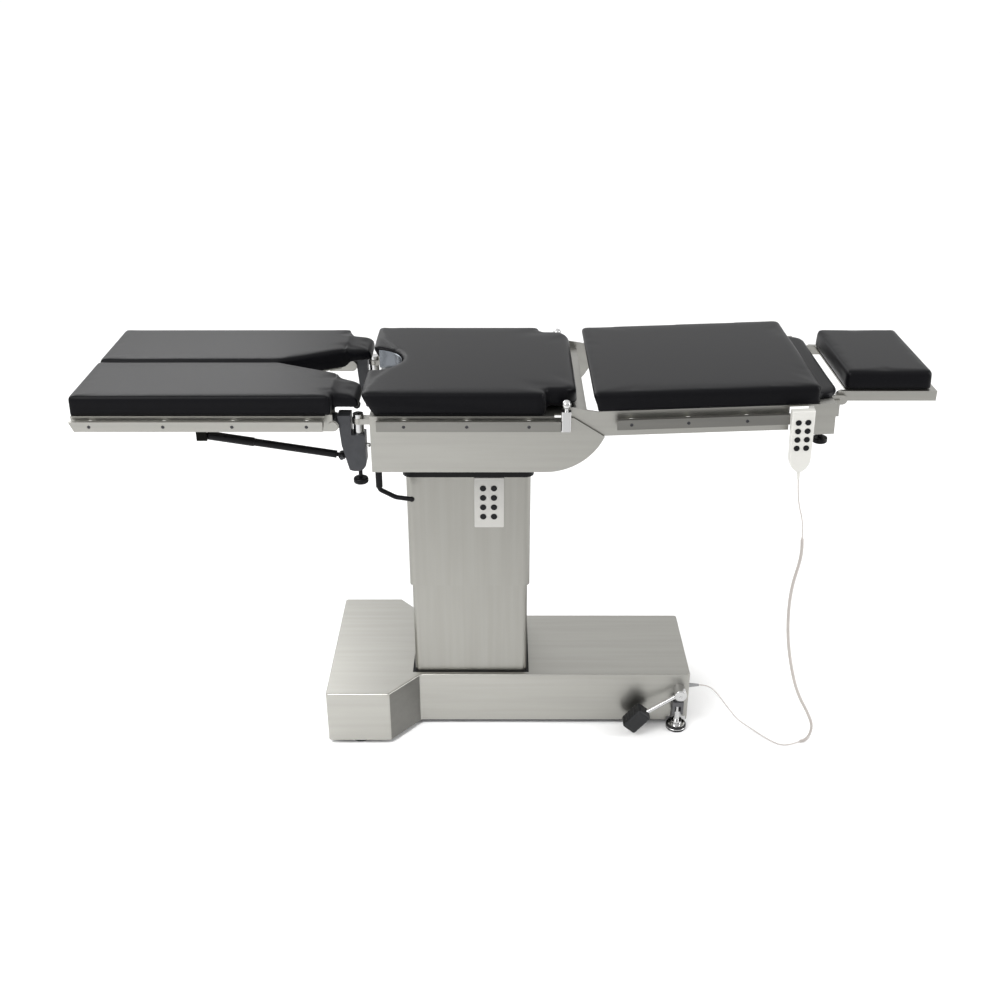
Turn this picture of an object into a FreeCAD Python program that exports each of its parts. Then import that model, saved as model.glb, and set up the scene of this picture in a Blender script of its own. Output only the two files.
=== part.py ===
import FreeCAD, Part
import math
import os
import re
import Sketcher

# An operating table with a telescopic column on a mobile base. Millimetres.
# +X points to the head end, +Y away from the side that carries the handset, +Z up.
# The origin lies on the floor below the middle of the table's length and width.

SIZES = {
    # Table top, its sections and rails
    "table_half": 250.0,
    "deck_sheet": 4.0,
    "side_sheet": 4.0,
    "rail_top": 976.5,
    "rail_height": 25.0,
    "rail_depth": 10.0,
    "rail_gap": 10.0,
    "spacer_radius": 6.0,
    "pad_corner": 14.0,
    "pad_edge": 10.0,
    "tongue_corner": 45.0,
    # Seat section
    "seat_left": -324.0,
    "seat_deck_right": 118.0,
    "seat_ledge_right": 198.0,
    "seat_ledge_inset": 14.0,
    "seat_deck_top": 983.0,
    "seat_pad_height": 58.0,
    "seat_pad_left": -345.0,
    "seat_pad_right": 97.0,
    "seat_pad_undercut": 32.0,
    "seat_tongue_right": 177.0,
    "tongue_inset": 35.0,
    "seat_tongue_lift": 10.0,
    "seat_tongue_thick": 38.0,
    "perineal_radius": 83.0,
    "seat_skirt_bottom": 836.0,
    "seat_skirt_flat_right": 98.0,
    "seat_skirt_right": 240.0,
    "seat_skirt_tip": 930.0,
    "seat_skirt_radius": 155.0,
    "seat_seam_x": 164.0,
    "seat_rail_left": -307.0,
    "seat_rail_right": 133.0,
    # Back section, drawn level and then raised about its hinge
    "back_rise": 2.1,
    "back_pivot_x": 150.0,
    "back_pivot_z": 990.0,
    "back_ear_radius": 15.0,
    "back_pin_radius": 9.0,
    "back_deck_top": 990.5,
    "back_deck_left": 224.0,
    "back_pad_height": 48.0,
    "back_pad_left": 209.0,
    "back_pad_right": 753.0,
    "back_pad_undercut": 14.0,
    "back_tongue_right": 807.0,
    "back_tongue_thick": 15.5,
    "back_skirt_bottom": 927.0,
    "back_skirt_right": 678.0,
    "back_skirt_gap": 2.0,
    "back_rail_left": 266.0,
    "back_rail_right": 731.0,
    "block_left": 736.0,
    "block_right": 789.0,
    "block_bottom": 912.0,
    "block_inset": 54.0,
    "head_knob_inset": 28.0,
    # Head section
    "head_pivot_x": 821.0,
    "head_pivot_z": 973.4,
    "head_pin_radius": 5.0,
    "head_pad_left": 829.0,
    "head_pad_right": 1042.0,
    "head_pad_inset": 87.0,
    "head_pad_height": 48.0,
    "head_deck_top": 990.9,
    "head_bar_right": 1052.0,
    "head_bar_margin": 7.0,
    "head_bar_width": 10.0,
    "head_bar_height": 25.0,
    "head_knob_radius": 18.0,
    "head_stem_radius": 6.0,
    # Leg sections
    "leg_left": -1037.0,
    "leg_pad_left": -1041.0,
    "leg_pad_right": -415.0,
    "leg_pad_height": 50.0,
    "leg_deck_top": 983.5,
    "leg_split": 4.0,
    "leg_vee_left": -575.0,
    "leg_vee_half": 82.0,
    "leg_vee_mouth": 114.0,
    "leg_tongue_right": -352.0,
    "leg_tongue_inset": 31.0,
    "leg_tongue_lift": 7.5,
    "leg_tongue_thick": 27.0,
    "leg_rail_left": -1037.0,
    "leg_rail_right": -434.0,
    "leg_rail_slant": 11.0,
    "leg_fold_x": -415.0,
    "leg_fold_z": 950.0,
    "leg_pin_radius": 8.0,
    "leg_lug": 7.0,
    "leg_lug_gap": 1.0,
    # Leg hinge castings
    "swing_x": -356.0,
    "swing_inset": 45.0,
    "swing_pin_radius": 13.0,
    "swing_shank_radius": 8.0,
    "swing_pin_top": 972.0,
    "casting_half": 20.0,
    "casting_left": -404.0,
    "casting_right": -340.0,
    "casting_top": 973.0,
    "casting_shelf": 922.0,
    "casting_bottom": 830.0,
    "casting_notch_x": -373.0,
    "arm_bottom": 948.0,
    "arm_top": 962.0,
    "leg_knob_radius": 18.5,
    "leg_knob_top": 801.0,
    "leg_knob_height": 15.0,
    # Clamp lever below the seat
    "lever_inset": 50.0,
    "lever_radius": 6.0,
    "lever_sleeve_radius": 8.5,
    "lever_sleeve_low": 770.0,
    "lever_top": 868.0,
    "lever_elbow": 764.0,
    "lever_bend": 12.0,
    "lever_sweep": 40.0,
    "lever_fall": 22.0,
    "lever_reach": 80.0,
    # Gas springs
    "spring_low_x": -406.0,
    "spring_low_z": 843.0,
    "spring_high_x": -749.0,
    "spring_high_z": 899.0,
    "spring_set": 39.0,
    "spring_tube_radius": 9.5,
    "spring_rod_radius": 5.0,
    "spring_tube_length": 231.0,
    # Column
    "column_x": -93.0,
    "column_half_x": 160.0,
    "column_margin": 13.0,
    "column_corner": 16.0,
    "sleeve_wall": 3.0,
    "sleeve_gap": 3.0,
    "guide_gap": 0.3,
    "guide_height": 30.0,
    "outer_bottom": 447.0,
    "outer_top": 772.0,
    "middle_bottom": 145.0,
    "middle_top": 590.0,
    "inner_top": 420.0,
    "head_plate_height": 16.0,
    "head_plate_overhang": 8.0,
    "ram_radius": 30.0,
    "ram_bottom": 290.0,
    "cylinder_radius": 48.0,
    "cylinder_top": 430.0,
    "tilt_z": 862.0,
    "tilt_pin_radius": 14.0,
    "tilt_ear_radius": 30.0,
    "tilt_ear_thick": 20.0,
    "tilt_ear_inner": 70.0,
    "cross_half": 60.0,
    # Keypads
    "panel_left": -78.0,
    "panel_right": -2.0,
    "panel_bottom": 626.0,
    "panel_top": 768.0,
    "panel_thick": 4.0,
    "panel_key_x": -55.5,
    "panel_key_pitch": 28.0,
    "panel_key_top": 738.5,
    "panel_key_drop": 27.1,
    "panel_key_radius": 8.0,
    "key_gap": 0.25,
    "key_proud": 1.6,
    "key_travel": 1.0,
    # Handset, drawn level with the back section
    "handset_x": 701.7,
    "handset_half": 27.5,
    "handset_top": 992.0,
    "handset_bottom": 834.0,
    "handset_thick": 19.0,
    "handset_key_x": 690.5,
    "handset_key_pitch": 22.4,
    "handset_key_top": 963.5,
    "handset_key_drop": 21.9,
    "handset_key_radius": 7.0,
    # Base
    "base_bottom": 15.0,
    "base_top": 168.0,
    "base_wall": 3.0,
    "base_right": 516.0,
    "base_half": 153.0,
    "base_left": -233.0,
    "foot_left": -484.0,
    "foot_right": -313.0,
    "foot_half": 245.0,
    "base_corner": 8.0,
    "base_edge": 4.0,
    "column_gap": 7.0,
    "floor_plate_low": 8.0,
    "floor_plate": 8.0,
    "deck_low": 112.0,
    "deck_high": 120.0,
    "beam": 8.6,
    # Feet, wheels and pedal
    "foot_x": 484.0,
    "foot_set": 12.0,
    "bracket_half": 15.0,
    "fork_half": 8.6,
    "fork_high": 78.0,
    "bracket_low": 52.0,
    "bracket_high": 92.0,
    "rear_foot_x": -398.0,
    "rear_foot_inset": 40.0,
    "stem_radius": 8.0,
    "pad_radius": 28.0,
    "pad_height": 13.0,
    "notch_gap": 1.0,
    "foot_lift": 12.0,
    "wheel_radius": 35.0,
    "wheel_width": 24.0,
    "axle_radius": 5.0,
    "caster_x": 395.0,
    "caster_y": 75.0,
    "caster_trail": 20.0,
    "fixed_x": -398.0,
    "fixed_y": 120.0,
    "pedal_x": 487.0,
    "pedal_z": 121.0,
    "hub_radius": 17.0,
    "hub_length": 39.0,
    "shaft_radius": 8.0,
    "pedal_rod_radius": 6.0,
    "pedal_rod_length": 122.0,
    "pedal_rod_slope": 30.0,
    "pedal_pad_length": 70.0,
    "pedal_pad_thick": 44.0,
    "pedal_pad_width": 44.0,
    "gland_y": -100.0,
    "gland_z": 95.0,
    "gland_end": 552.0,
    # Cord of the handset
    "cord_radius": 2.0,
    "curl_radius": 4.5,
    "running_gap": 0.05,
}

# Sizes that follow from the ones above.
FOLLOWING = {
    "seat_ledge_half": "table_half - seat_ledge_inset",
    "seat_tongue_half": "table_half - tongue_inset",
    "seat_tongue_low": "seat_deck_top + seat_tongue_lift",
    "seat_tongue_high": "seat_tongue_low + seat_tongue_thick",
    "back_tongue_half": "table_half - tongue_inset",
    "back_tongue_high": "back_deck_top + back_tongue_thick",
    "block_inner": "table_half - block_inset",
    "block_middle": "(block_left + block_right) / 2",
    "head_knob_y": "-table_half + head_knob_inset",
    "head_pad_half": "table_half - head_pad_inset",
    "head_bar_outer": "head_pad_half + head_bar_margin",
    "leg_tongue_outer": "table_half - leg_tongue_inset",
    "leg_tongue_low": "leg_deck_top + leg_tongue_lift",
    "leg_tongue_high": "leg_tongue_low + leg_tongue_thick",
    "swing_y": "table_half - swing_inset",
    "spring_y": "swing_y - spring_set",
    "lever_x": "seat_left + 10",
    "lever_y": "-table_half + lever_inset",
    "column_half_y": "base_half - column_margin",
    "foot_y": "base_half + foot_set",
    "rear_foot_y": "foot_half - rear_foot_inset",
    "hub_outer": "base_half + hub_length",
    "front_deck_left": "caster_x - 65",
}
NAMES = {**SIZES, **{name: "=" + text for name, text in FOLLOWING.items()}}

doc = FreeCAD.newDocument("operating_table")
sheet = doc.addObject("Spreadsheet::Sheet", "Sizes")
for row, (name, value) in enumerate(NAMES.items(), start=1):
    sheet.set("A%d" % row, name)
    sheet.set("B%d" % row, str(value))
    sheet.setAlias("B%d" % row, name)
doc.recompute()

nodes = []
NEAR, FAR = -1, 1
SIDES = {"near": NEAR, "far": FAR}
UP = FreeCAD.Vector(0, 0, 1)


def formula(value):
    """An expression's text, with each size read from the sheet."""
    def lead(word):
        return "Sizes." + word[0] if word[0] in NAMES else word[0]
    return re.sub(r"[a-z][a-z0-9_]*", lead, str(value))


def number(value):
    """The present value of an expression."""
    return float(sheet.evalExpression(formula(value)))


def bind(item, setting, value):
    item.setExpression(setting, formula(value))


def place(item, x=0, y=0, z=0):
    for axis, value in zip("xyz", (x, y, z)):
        bind(item, "Placement.Base." + axis, value)


def keep(item, label):
    """Give a finished sub-part its own label and list it as a node."""
    item.Label = label
    nodes.append(item)
    return item


def span(side, inner, outer):
    """The low and high Y of a piece that lies between two distances from the middle."""
    if side == NEAR:
        return "-(%s)" % outer, "-(%s)" % inner
    return "(%s)" % inner, "(%s)" % outer


def box(name, low, high):
    """A box between two corners."""
    item = doc.addObject("Part::Box", name)
    for setting, start, end in zip(("Length", "Width", "Height"), low, high):
        bind(item, setting, "(%s) - (%s)" % (end, start))
    place(item, *low)
    return item


def cylinder(name, foot, radius, length, axis="Z"):
    """A cylinder that stands on a point, along one axis."""
    item = doc.addObject("Part::Cylinder", name)
    bind(item, "Radius", radius)
    bind(item, "Height", length)
    turns = {"X": (FreeCAD.Vector(0, 1, 0), 90), "Y": (FreeCAD.Vector(1, 0, 0), -90), "Z": (UP, 0)}
    item.Placement.Rotation = FreeCAD.Rotation(*turns[axis])
    place(item, *foot)
    return item


def pin_across(name, x, z, radius, low, high):
    """A round pin along Y between two values of Y."""
    return cylinder(name, (x, low, z), radius, "(%s) - (%s)" % (high, low), "Y")


def fuse(name, *pieces):
    item = doc.addObject("Part::MultiFuse", name)
    item.Shapes = list(pieces)
    item.Refine = True
    return item


def cut(name, base, *tools):
    item = doc.addObject("Part::Cut", name)
    item.Base = base
    item.Tool = tools[0] if len(tools) == 1 else fuse(name + "_tools", *tools)
    item.Refine = True
    return item


def soften(name, base, radius, wanted):
    """Round the edges of a primitive or boolean that a test picks out."""
    doc.recompute()
    item = doc.addObject("Part::Fillet", name)
    item.Base = base
    size = number(radius)
    item.Edges = [(i, size, size) for i, edge in enumerate(base.Shape.Edges, start=1) if wanted(edge)]
    return item


def runs_along(edge, axis):
    """Whether an edge is straight and parallel to an axis."""
    if not isinstance(edge.Curve, Part.Line):
        return False
    return abs(abs(edge.tangentAt(edge.FirstParameter).dot(axis)) - 1) < 1e-6


def upright(edge):
    return runs_along(edge, UP)


def lies_at(edge, height):
    """Whether an edge lies in the level plane at a height."""
    box_of = edge.BoundBox
    return abs(box_of.ZMin - height) < 1e-4 and abs(box_of.ZMax - height) < 1e-4


def arc_centre(start, end, radius):
    """The centre of the arc that turns left from start to end, or right if the radius is negative."""
    chord = end - start
    left = FreeCAD.Vector(-chord.y, chord.x, 0).normalize()
    height = math.sqrt(max(radius ** 2 - (chord.Length / 2) ** 2, 0))
    return (start + end) * 0.5 + left * math.copysign(height, radius)


def draw(body, plane, outline, level, circles=()):
    """A sketch on one of a body's own origin planes, at a level along the plane's axis.

    A point of the outline is (u, v), or (u, v, radius) where an arc leaves it.
    """
    sketch = body.newObject("Sketcher::SketchObject", body.Name + "_sketch")
    role = {"XY": "XY_Plane", "XZ": "XZ_Plane", "YZ": "YZ_Plane"}[plane]
    sketch.AttachmentSupport = [(next(f for f in body.Origin.OriginFeatures if f.Role == role), "")]
    sketch.MapMode = "FlatFace"
    bind(sketch, "AttachmentOffset.Base.z", "-(%s)" % level if plane == "XZ" else level)
    spots = [FreeCAD.Vector(number(p[0]), number(p[1]), 0) for p in outline]
    first_ends = []
    for i, point in enumerate(outline):
        start, end = spots[i], spots[(i + 1) % len(spots)]
        if len(point) == 2:
            sketch.addGeometry(Part.LineSegment(start, end), False)
            first_ends.append((1, 2))
            continue
        radius = number(point[2])
        centre = arc_centre(start, end, radius)
        first, last = (start, end) if radius > 0 else (end, start)
        angles = [math.atan2(p.y - centre.y, p.x - centre.x) for p in (first, last)]
        circle = Part.Circle(centre, UP, abs(radius))
        sketch.addGeometry(Part.ArcOfCircle(circle, angles[0], angles[1]), False)
        first_ends.append((1, 2) if radius > 0 else (2, 1))
    for i, (start_end, finish_end) in enumerate(first_ends):
        after = (i + 1) % len(first_ends)
        sketch.addConstraint(Sketcher.Constraint("Coincident", i, finish_end, after, first_ends[after][0]))
    for i, point in enumerate(outline):
        for kind, value in zip(("DistanceX", "DistanceY"), point):
            place_on = Sketcher.Constraint(kind, -1, 1, i, first_ends[i][0], number(value))
            bind(sketch, "Constraints[%d]" % sketch.addConstraint(place_on), value)
        if len(point) == 3:
            rounding = sketch.addConstraint(Sketcher.Constraint("Radius", i, abs(number(point[2]))))
            bind(sketch, "Constraints[%d]" % rounding, "abs(%s)" % point[2])
    for u, v, radius in circles:
        centre = FreeCAD.Vector(number(u), number(v), 0)
        ring = sketch.addGeometry(Part.Circle(centre, UP, number(radius)), False)
        for kind, value in zip(("DistanceX", "DistanceY"), (u, v)):
            place_on = Sketcher.Constraint(kind, -1, 1, ring, 3, number(value))
            bind(sketch, "Constraints[%d]" % sketch.addConstraint(place_on), value)
        size = sketch.addConstraint(Sketcher.Constraint("Radius", ring, number(radius)))
        bind(sketch, "Constraints[%d]" % size, radius)
    return sketch


def slab(name, plane, outline, low, high, circles=()):
    """A body padded from an outline between two levels."""
    body = doc.addObject("PartDesign::Body", name)
    sketch = draw(body, plane, outline, high if plane == "XZ" else low, circles)
    pad = body.newObject("PartDesign::Pad", name + "_pad")
    pad.Profile = sketch
    bind(pad, "Length", "(%s) - (%s)" % (high, low))
    doc.recompute()
    return body


def carve(body, plane, outline, low, high, circles=()):
    """Pocket an outline out of a body between two levels, and check that it cut."""
    before = body.Shape.Volume
    sketch = draw(body, plane, outline, low if plane == "XZ" else high, circles)
    pocket = body.newObject("PartDesign::Pocket", body.Name + "_pocket")
    pocket.Profile = sketch
    bind(pocket, "Length", "(%s) - (%s)" % (high, low))
    doc.recompute()
    if body.Shape.Volume > before - 1:
        raise RuntimeError("the pocket in %s cut nothing" % body.Name)
    return body


def fillet(body, radius, wanted):
    """Round the edges of a body's tip that a test picks out."""
    tip = body.Tip
    chosen = ["Edge%d" % i for i, edge in enumerate(tip.Shape.Edges, start=1) if wanted(edge)]
    if not chosen:
        raise RuntimeError("no edge to round on %s" % body.Name)
    feature = body.newObject("PartDesign::Fillet", body.Name + "_round")
    feature.Base = (tip, chosen)
    bind(feature, "Radius", radius)
    doc.recompute()
    return body


def rectangle(low_u, low_v, high_u, high_v):
    return [(low_u, low_v), (high_u, low_v), (high_u, high_v), (low_u, high_v)]


def tube(name, half_x, half_y, corner, wall, low, high):
    """A rectangular sleeve with round corners, about the column's axis."""
    outline = rectangle("column_x - (%s)" % half_x, "-(%s)" % half_y,
                        "column_x + (%s)" % half_x, half_y)
    outer = fillet(slab(name + "_outer", "XY", outline, low, high), corner, upright)
    outline = rectangle("column_x - (%s) + %s" % (half_x, wall), "-(%s) + %s" % (half_y, wall),
                        "column_x + (%s) - %s" % (half_x, wall), "(%s) - %s" % (half_y, wall))
    inner = slab(name + "_inner", "XY", outline, "(%s) - 1" % low, "(%s) + 1" % high)
    fillet(inner, "(%s) - %s" % (corner, wall), upright)
    return cut(name, outer, inner)


def raise_with_back(item):
    """Turn a level piece of the back section up about the back hinge."""
    item.Placement.Rotation = FreeCAD.Rotation(FreeCAD.Vector(0, 1, 0), -number("back_rise"))
    bind(item, "Placement.Rotation.Angle", "-back_rise * 1deg")
    place(item,
          "back_pivot_x * (1 - cos(back_rise * 1deg)) + back_pivot_z * sin(back_rise * 1deg)", 0,
          "back_pivot_z * (1 - cos(back_rise * 1deg)) - back_pivot_x * sin(back_rise * 1deg)")
    return item


def lift_with_back(item):
    """Carry a level piece of the head section to where the raised back holds its hinge."""
    along, over = "(head_pivot_x - back_pivot_x)", "(head_pivot_z - back_pivot_z)"
    place(item,
          "%s * (cos(back_rise * 1deg) - 1) - %s * sin(back_rise * 1deg)" % (along, over), 0,
          "%s * (cos(back_rise * 1deg) - 1) + %s * sin(back_rise * 1deg)" % (over, along))
    return item


def rail(name, side, left, right, spacers, plate_outer, slant="0"):
    """A side rail on round spacers, with its outer face a fixed distance from the table and its left
    end cut at a slant."""
    back, face = "table_half + rail_gap + 2", "table_half + rail_gap + 2 + rail_depth"
    low_y, high_y = span(side, back, face)
    bar = slab(name + "_bar", "XZ",
               [("%s + %s" % (left, slant), "rail_top - rail_height"), (right, "rail_top - rail_height"),
                (right, "rail_top"), (left, "rail_top")], low_y, high_y)
    posts = []
    for i, x in enumerate(spacers):
        low_y, high_y = span(side, plate_outer, back)
        posts.append(pin_across("%s_spacer_%d" % (name, i), x, "rail_top - rail_height / 2",
                                "spacer_radius", low_y, high_y))
    return [bar] + posts


# Base

def make_base_cover():
    outline = [("foot_left", "-foot_half"), ("foot_right", "-foot_half"), ("base_left", "-base_half"),
               ("base_right", "-base_half"), ("base_right", "base_half"), ("base_left", "base_half"),
               ("foot_right", "foot_half"), ("foot_left", "foot_half")]
    cover = slab("base_cover_body", "XY", outline, "base_bottom", "base_top")
    fillet(cover, "base_corner", upright)
    top = number("base_top")
    fillet(cover, "base_edge", lambda edge: lies_at(edge, top))
    floor = "Face%d" % next(i for i, face in enumerate(cover.Shape.Faces, start=1)
                            if face.BoundBox.ZMax < number("base_bottom") + 0.01)
    shell = cover.newObject("PartDesign::Thickness", "base_cover_shell")
    shell.Base = (cover.Tip if cover.Tip != shell else shell.BaseFeature, [floor])
    bind(shell, "Value", "base_wall")
    shell.Reversed = True
    doc.recompute()
    middle_x = "(column_half_x - sleeve_wall - sleeve_gap + column_gap)"
    middle_y = "(column_half_y - sleeve_wall - sleeve_gap + column_gap)"
    carve(cover, "XY", rectangle("column_x - " + middle_x, "-" + middle_y,
                                 "column_x + " + middle_x, middle_y), "base_top - 20", "base_top + 1")
    narrow, wide = "bracket_half + notch_gap", "pad_radius - notch_gap"
    step = "pad_height + foot_lift + 2"
    notch = [("foot_x - (%s)" % wide, "base_bottom - 1"), ("foot_x + " + wide, "base_bottom - 1"),
             ("foot_x + " + wide, step), ("foot_x + " + narrow, step),
             ("foot_x + " + narrow, "bracket_high + notch_gap"),
             ("foot_x - (%s)" % narrow, "bracket_high + notch_gap"),
             ("foot_x - (%s)" % narrow, step), ("foot_x - (%s)" % wide, step)]
    carve(cover, "XZ", notch, "-base_half - 1", "-base_half + base_wall + 1")
    carve(cover, "XZ", notch, "base_half - base_wall - 1", "base_half + 1")
    carve(cover, "XZ", [], "-base_half - 1", "-base_half + base_wall + 1",
          [("pedal_x", "pedal_z", "shaft_radius + 1")])
    carve(cover, "YZ", [], "base_right - base_wall - 1", "base_right + 1",
          [("gland_y", "gland_z", "6.2")])
    return keep(cover, "base_cover")


def foot_places():
    return [("foot_x", "-foot_y"), ("foot_x", "foot_y"),
            ("rear_foot_x", "-rear_foot_y"), ("rear_foot_x", "rear_foot_y")]


def make_chassis():
    inside = "base_half - base_wall - 0.3"
    front_deck = box("front_deck", ("front_deck_left", "-(%s)" % inside, "deck_low"),
                     ("base_right - base_wall - 0.3", inside, "deck_high"))
    rear_deck = box("rear_deck", ("foot_left + base_wall + 0.3", "-foot_half + base_wall + 0.3", "deck_low"),
                    ("foot_right - base_wall - 9", "foot_half - base_wall - 0.3", "deck_high"))
    pieces = [
        box("floor_sheet", ("foot_right - 3", "-(%s)" % inside, "floor_plate_low"),
            ("front_deck_left", inside, "floor_plate_low + floor_plate")),
        soften("front_deck_round", front_deck, "base_corner", upright),
        soften("rear_deck_round", rear_deck, "base_corner", upright),
        box("power_box", ("180", "-95", "floor_plate_low + floor_plate"), ("300", "95", "deck_low")),
    ]
    for word, side in SIDES.items():
        low_y, high_y = span(side, inside + " - beam", inside)
        pieces.append(box("beam_" + word, ("foot_right - 12", low_y, "floor_plate_low"),
                          ("front_deck_left", high_y, "deck_high")))
        low_y, high_y = span(side, "fixed_y - wheel_width / 2 - 5.5", "fixed_y - wheel_width / 2 - 1.5")
        cheeks = [(low_y, high_y)]
        cheeks.append(span(side, "fixed_y + wheel_width / 2 + 1.5", "fixed_y + wheel_width / 2 + 5.5"))
        for i, (low_y, high_y) in enumerate(cheeks):
            pieces.append(box("cheek_%s_%d" % (word, i), ("fixed_x - 14", low_y, "wheel_radius - 12"),
                              ("fixed_x + 14", high_y, "deck_low")))
    for word, side in SIDES.items():
        pieces.append(cylinder("foot_bush_" + word, ("rear_foot_x", "%d * rear_foot_y" % side, "60"),
                               "stem_radius + 6", "deck_low - 60"))
        low_y, high_y = span(side, inside + " - beam", inside)
        pieces.append(box("bracket_web_" + word, ("foot_x - bracket_half", low_y, "bracket_low"),
                          ("foot_x + bracket_half", high_y, "deck_high")))
        low_y, high_y = span(side, inside + " - 1", "foot_y + bracket_half")
        pieces.append(box("bracket_" + word, ("foot_x - bracket_half", low_y, "bracket_low"),
                          ("foot_x + bracket_half", high_y, "bracket_high")))
    pieces.append(box("pedal_bearing", ("pedal_x - 14", "-(%s)" % inside, "deck_high"),
                      ("pedal_x + 14", "-base_half + base_wall + 14", "pedal_z + 14")))
    solid = fuse("chassis_solid", *pieces)
    holes = []
    for i, (x, y) in enumerate(foot_places()):
        holes.append(cylinder("foot_bore_%d" % i, (x, y, "40"), "stem_radius + running_gap", "100"))
    for word, side in SIDES.items():
        low_y, high_y = span(side, "foot_y - fork_half", "foot_y + bracket_half + 1")
        holes.append(box("foot_fork_" + word, ("foot_x - fork_half", low_y, "bracket_low - 1"),
                         ("foot_x + fork_half", high_y, "fork_high")))
        holes.append(cylinder("caster_bore_" + word, ("caster_x", "%d * caster_y" % side, "deck_low - 1"),
                              "10 + running_gap", "deck_high - deck_low + 2"))
    holes.append(pin_across("axle_bore", "fixed_x", "wheel_radius", "axle_radius + running_gap",
                            "-(fixed_y + 30)", "fixed_y + 30"))
    holes.append(pin_across("pedal_bore", "pedal_x", "pedal_z", "shaft_radius + running_gap",
                            "-base_half - 1", "-base_half + 40"))
    return keep(cut("chassis", solid, *holes), "base_chassis")


def make_column_seal():
    reach_x = "column_half_x - sleeve_wall - sleeve_gap"
    reach_y = "column_half_y - sleeve_wall - sleeve_gap"
    frame = slab("seal_frame", "XY",
                 rectangle("column_x - (%s) - 14" % reach_x, "-(base_half - base_wall - 1)",
                           "column_x + %s + 14" % reach_x, "base_half - base_wall - 1"),
                 "base_top - base_wall - 4", "base_top - base_wall")
    hole = slab("seal_hole", "XY",
                rectangle("column_x - (%s) - 0.8" % reach_x, "-(%s) - 0.8" % reach_y,
                          "column_x + %s + 0.8" % reach_x, "%s + 0.8" % reach_y),
                "base_top - base_wall - 5", "base_top - base_wall + 1")
    fillet(hole, "column_corner - sleeve_gap + 0.8", upright)
    return keep(cut("seal", frame, hole), "column_seal")


# Column

def make_column():
    step = "(sleeve_wall + sleeve_gap)"
    stage = tube("inner_sleeve", "column_half_x - 2 * %s" % step, "column_half_y - 2 * %s" % step,
                 "column_corner - 2 * sleeve_gap", "sleeve_wall",
                 "floor_plate_low + floor_plate", "inner_top")
    collar = tube("inner_collar", "column_half_x - %s - sleeve_wall - guide_gap" % step,
                  "column_half_y - %s - sleeve_wall - guide_gap" % step,
                  "column_corner - sleeve_gap - sleeve_wall", "(sleeve_gap - guide_gap + 1)",
                  "inner_top - guide_height", "inner_top")
    plate = ("column_x", "0", "floor_plate_low + floor_plate")
    body = fuse("actuator_body", cylinder("actuator_barrel", plate, "cylinder_radius",
                                          "cylinder_top - floor_plate_low - floor_plate"),
                cylinder("actuator_flange", plate, "cylinder_radius + 22", "12"))
    bore = cylinder("actuator_bore", ("column_x", "0", "28"), "ram_radius + 0.4", "cylinder_top")
    keep(fuse("inner_stage", stage, collar, cut("actuator", body, bore)), "column_inner_stage")

    stage = tube("middle_sleeve", "column_half_x - %s" % step, "column_half_y - %s" % step,
                 "column_corner - sleeve_gap", "sleeve_wall", "middle_bottom", "middle_top")
    collar = tube("middle_collar", "column_half_x - sleeve_wall - guide_gap",
                  "column_half_y - sleeve_wall - guide_gap",
                  "column_corner - sleeve_wall", "(sleeve_gap - guide_gap + 1)",
                  "middle_top - guide_height", "middle_top")
    keep(fuse("middle_stage", stage, collar), "column_mid_sleeve")
    keep(tube("outer_sleeve", "column_half_x", "column_half_y", "column_corner", "sleeve_wall",
              "outer_bottom", "outer_top"), "column_outer_sleeve")


def ear(name, plane, middle, low, high, foot, top_radius):
    """A lug that rises or hangs from a foot line to a round end about the tilt axis."""
    outline = [("%s - %s" % (middle, top_radius), "tilt_z"), ("%s - 44" % middle, foot),
               ("%s + 44" % middle, foot), ("%s + %s" % (middle, top_radius), "tilt_z")]
    plate = slab(name + "_plate", plane, outline, low, high)
    axis = {"XZ": "Y", "YZ": "X"}[plane]
    start = (middle, low, "tilt_z") if plane == "XZ" else (low, middle, "tilt_z")
    crown = cylinder(name + "_crown", start, top_radius, "(%s) - (%s)" % (high, low), axis)
    return [plate, crown]


def make_column_head():
    plate = slab("head_plate", "XY",
                 rectangle("column_x - column_half_x - head_plate_overhang",
                           "-column_half_y - head_plate_overhang",
                           "column_x + column_half_x + head_plate_overhang",
                           "column_half_y + head_plate_overhang"),
                 "outer_top", "outer_top + head_plate_height")
    fillet(plate, "column_corner + head_plate_overhang", upright)
    pieces = [plate, cylinder("ram", ("column_x", "0", "ram_bottom"), "ram_radius",
                              "outer_top - ram_bottom + 4")]
    for word, side in SIDES.items():
        low_y, high_y = span(side, "tilt_ear_inner", "tilt_ear_inner + tilt_ear_thick")
        pieces += ear("yoke_" + word, "XZ", "column_x", low_y, high_y,
                      "outer_top + head_plate_height - 1", "tilt_ear_radius")
    bore = pin_across("yoke_bore", "column_x", "tilt_z", "tilt_pin_radius + running_gap",
                      "-(tilt_ear_inner + 40)", "tilt_ear_inner + 40")
    keep(cut("column_head_casting", fuse("column_head_solid", *pieces), bore), "column_head")


def make_tilt_cross():
    core = box("cross_core", ("column_x - cross_half + 2", "-cross_half - 6", "tilt_z - 22"),
               ("column_x + cross_half - 2", "cross_half + 6", "tilt_z + 22"))
    core = soften("cross_core_round", core, "6", upright)
    reach = "tilt_ear_inner + tilt_ear_thick + 1.5"
    across = pin_across("cross_pin_y", "column_x", "tilt_z", "tilt_pin_radius", "-(%s)" % reach, reach)
    along = cylinder("cross_pin_x", ("column_x - (%s)" % reach, "0", "tilt_z"), "tilt_pin_radius",
                     "2 * (%s)" % reach, "X")
    keep(fuse("cross", core, across, along), "tilt_cross")


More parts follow.
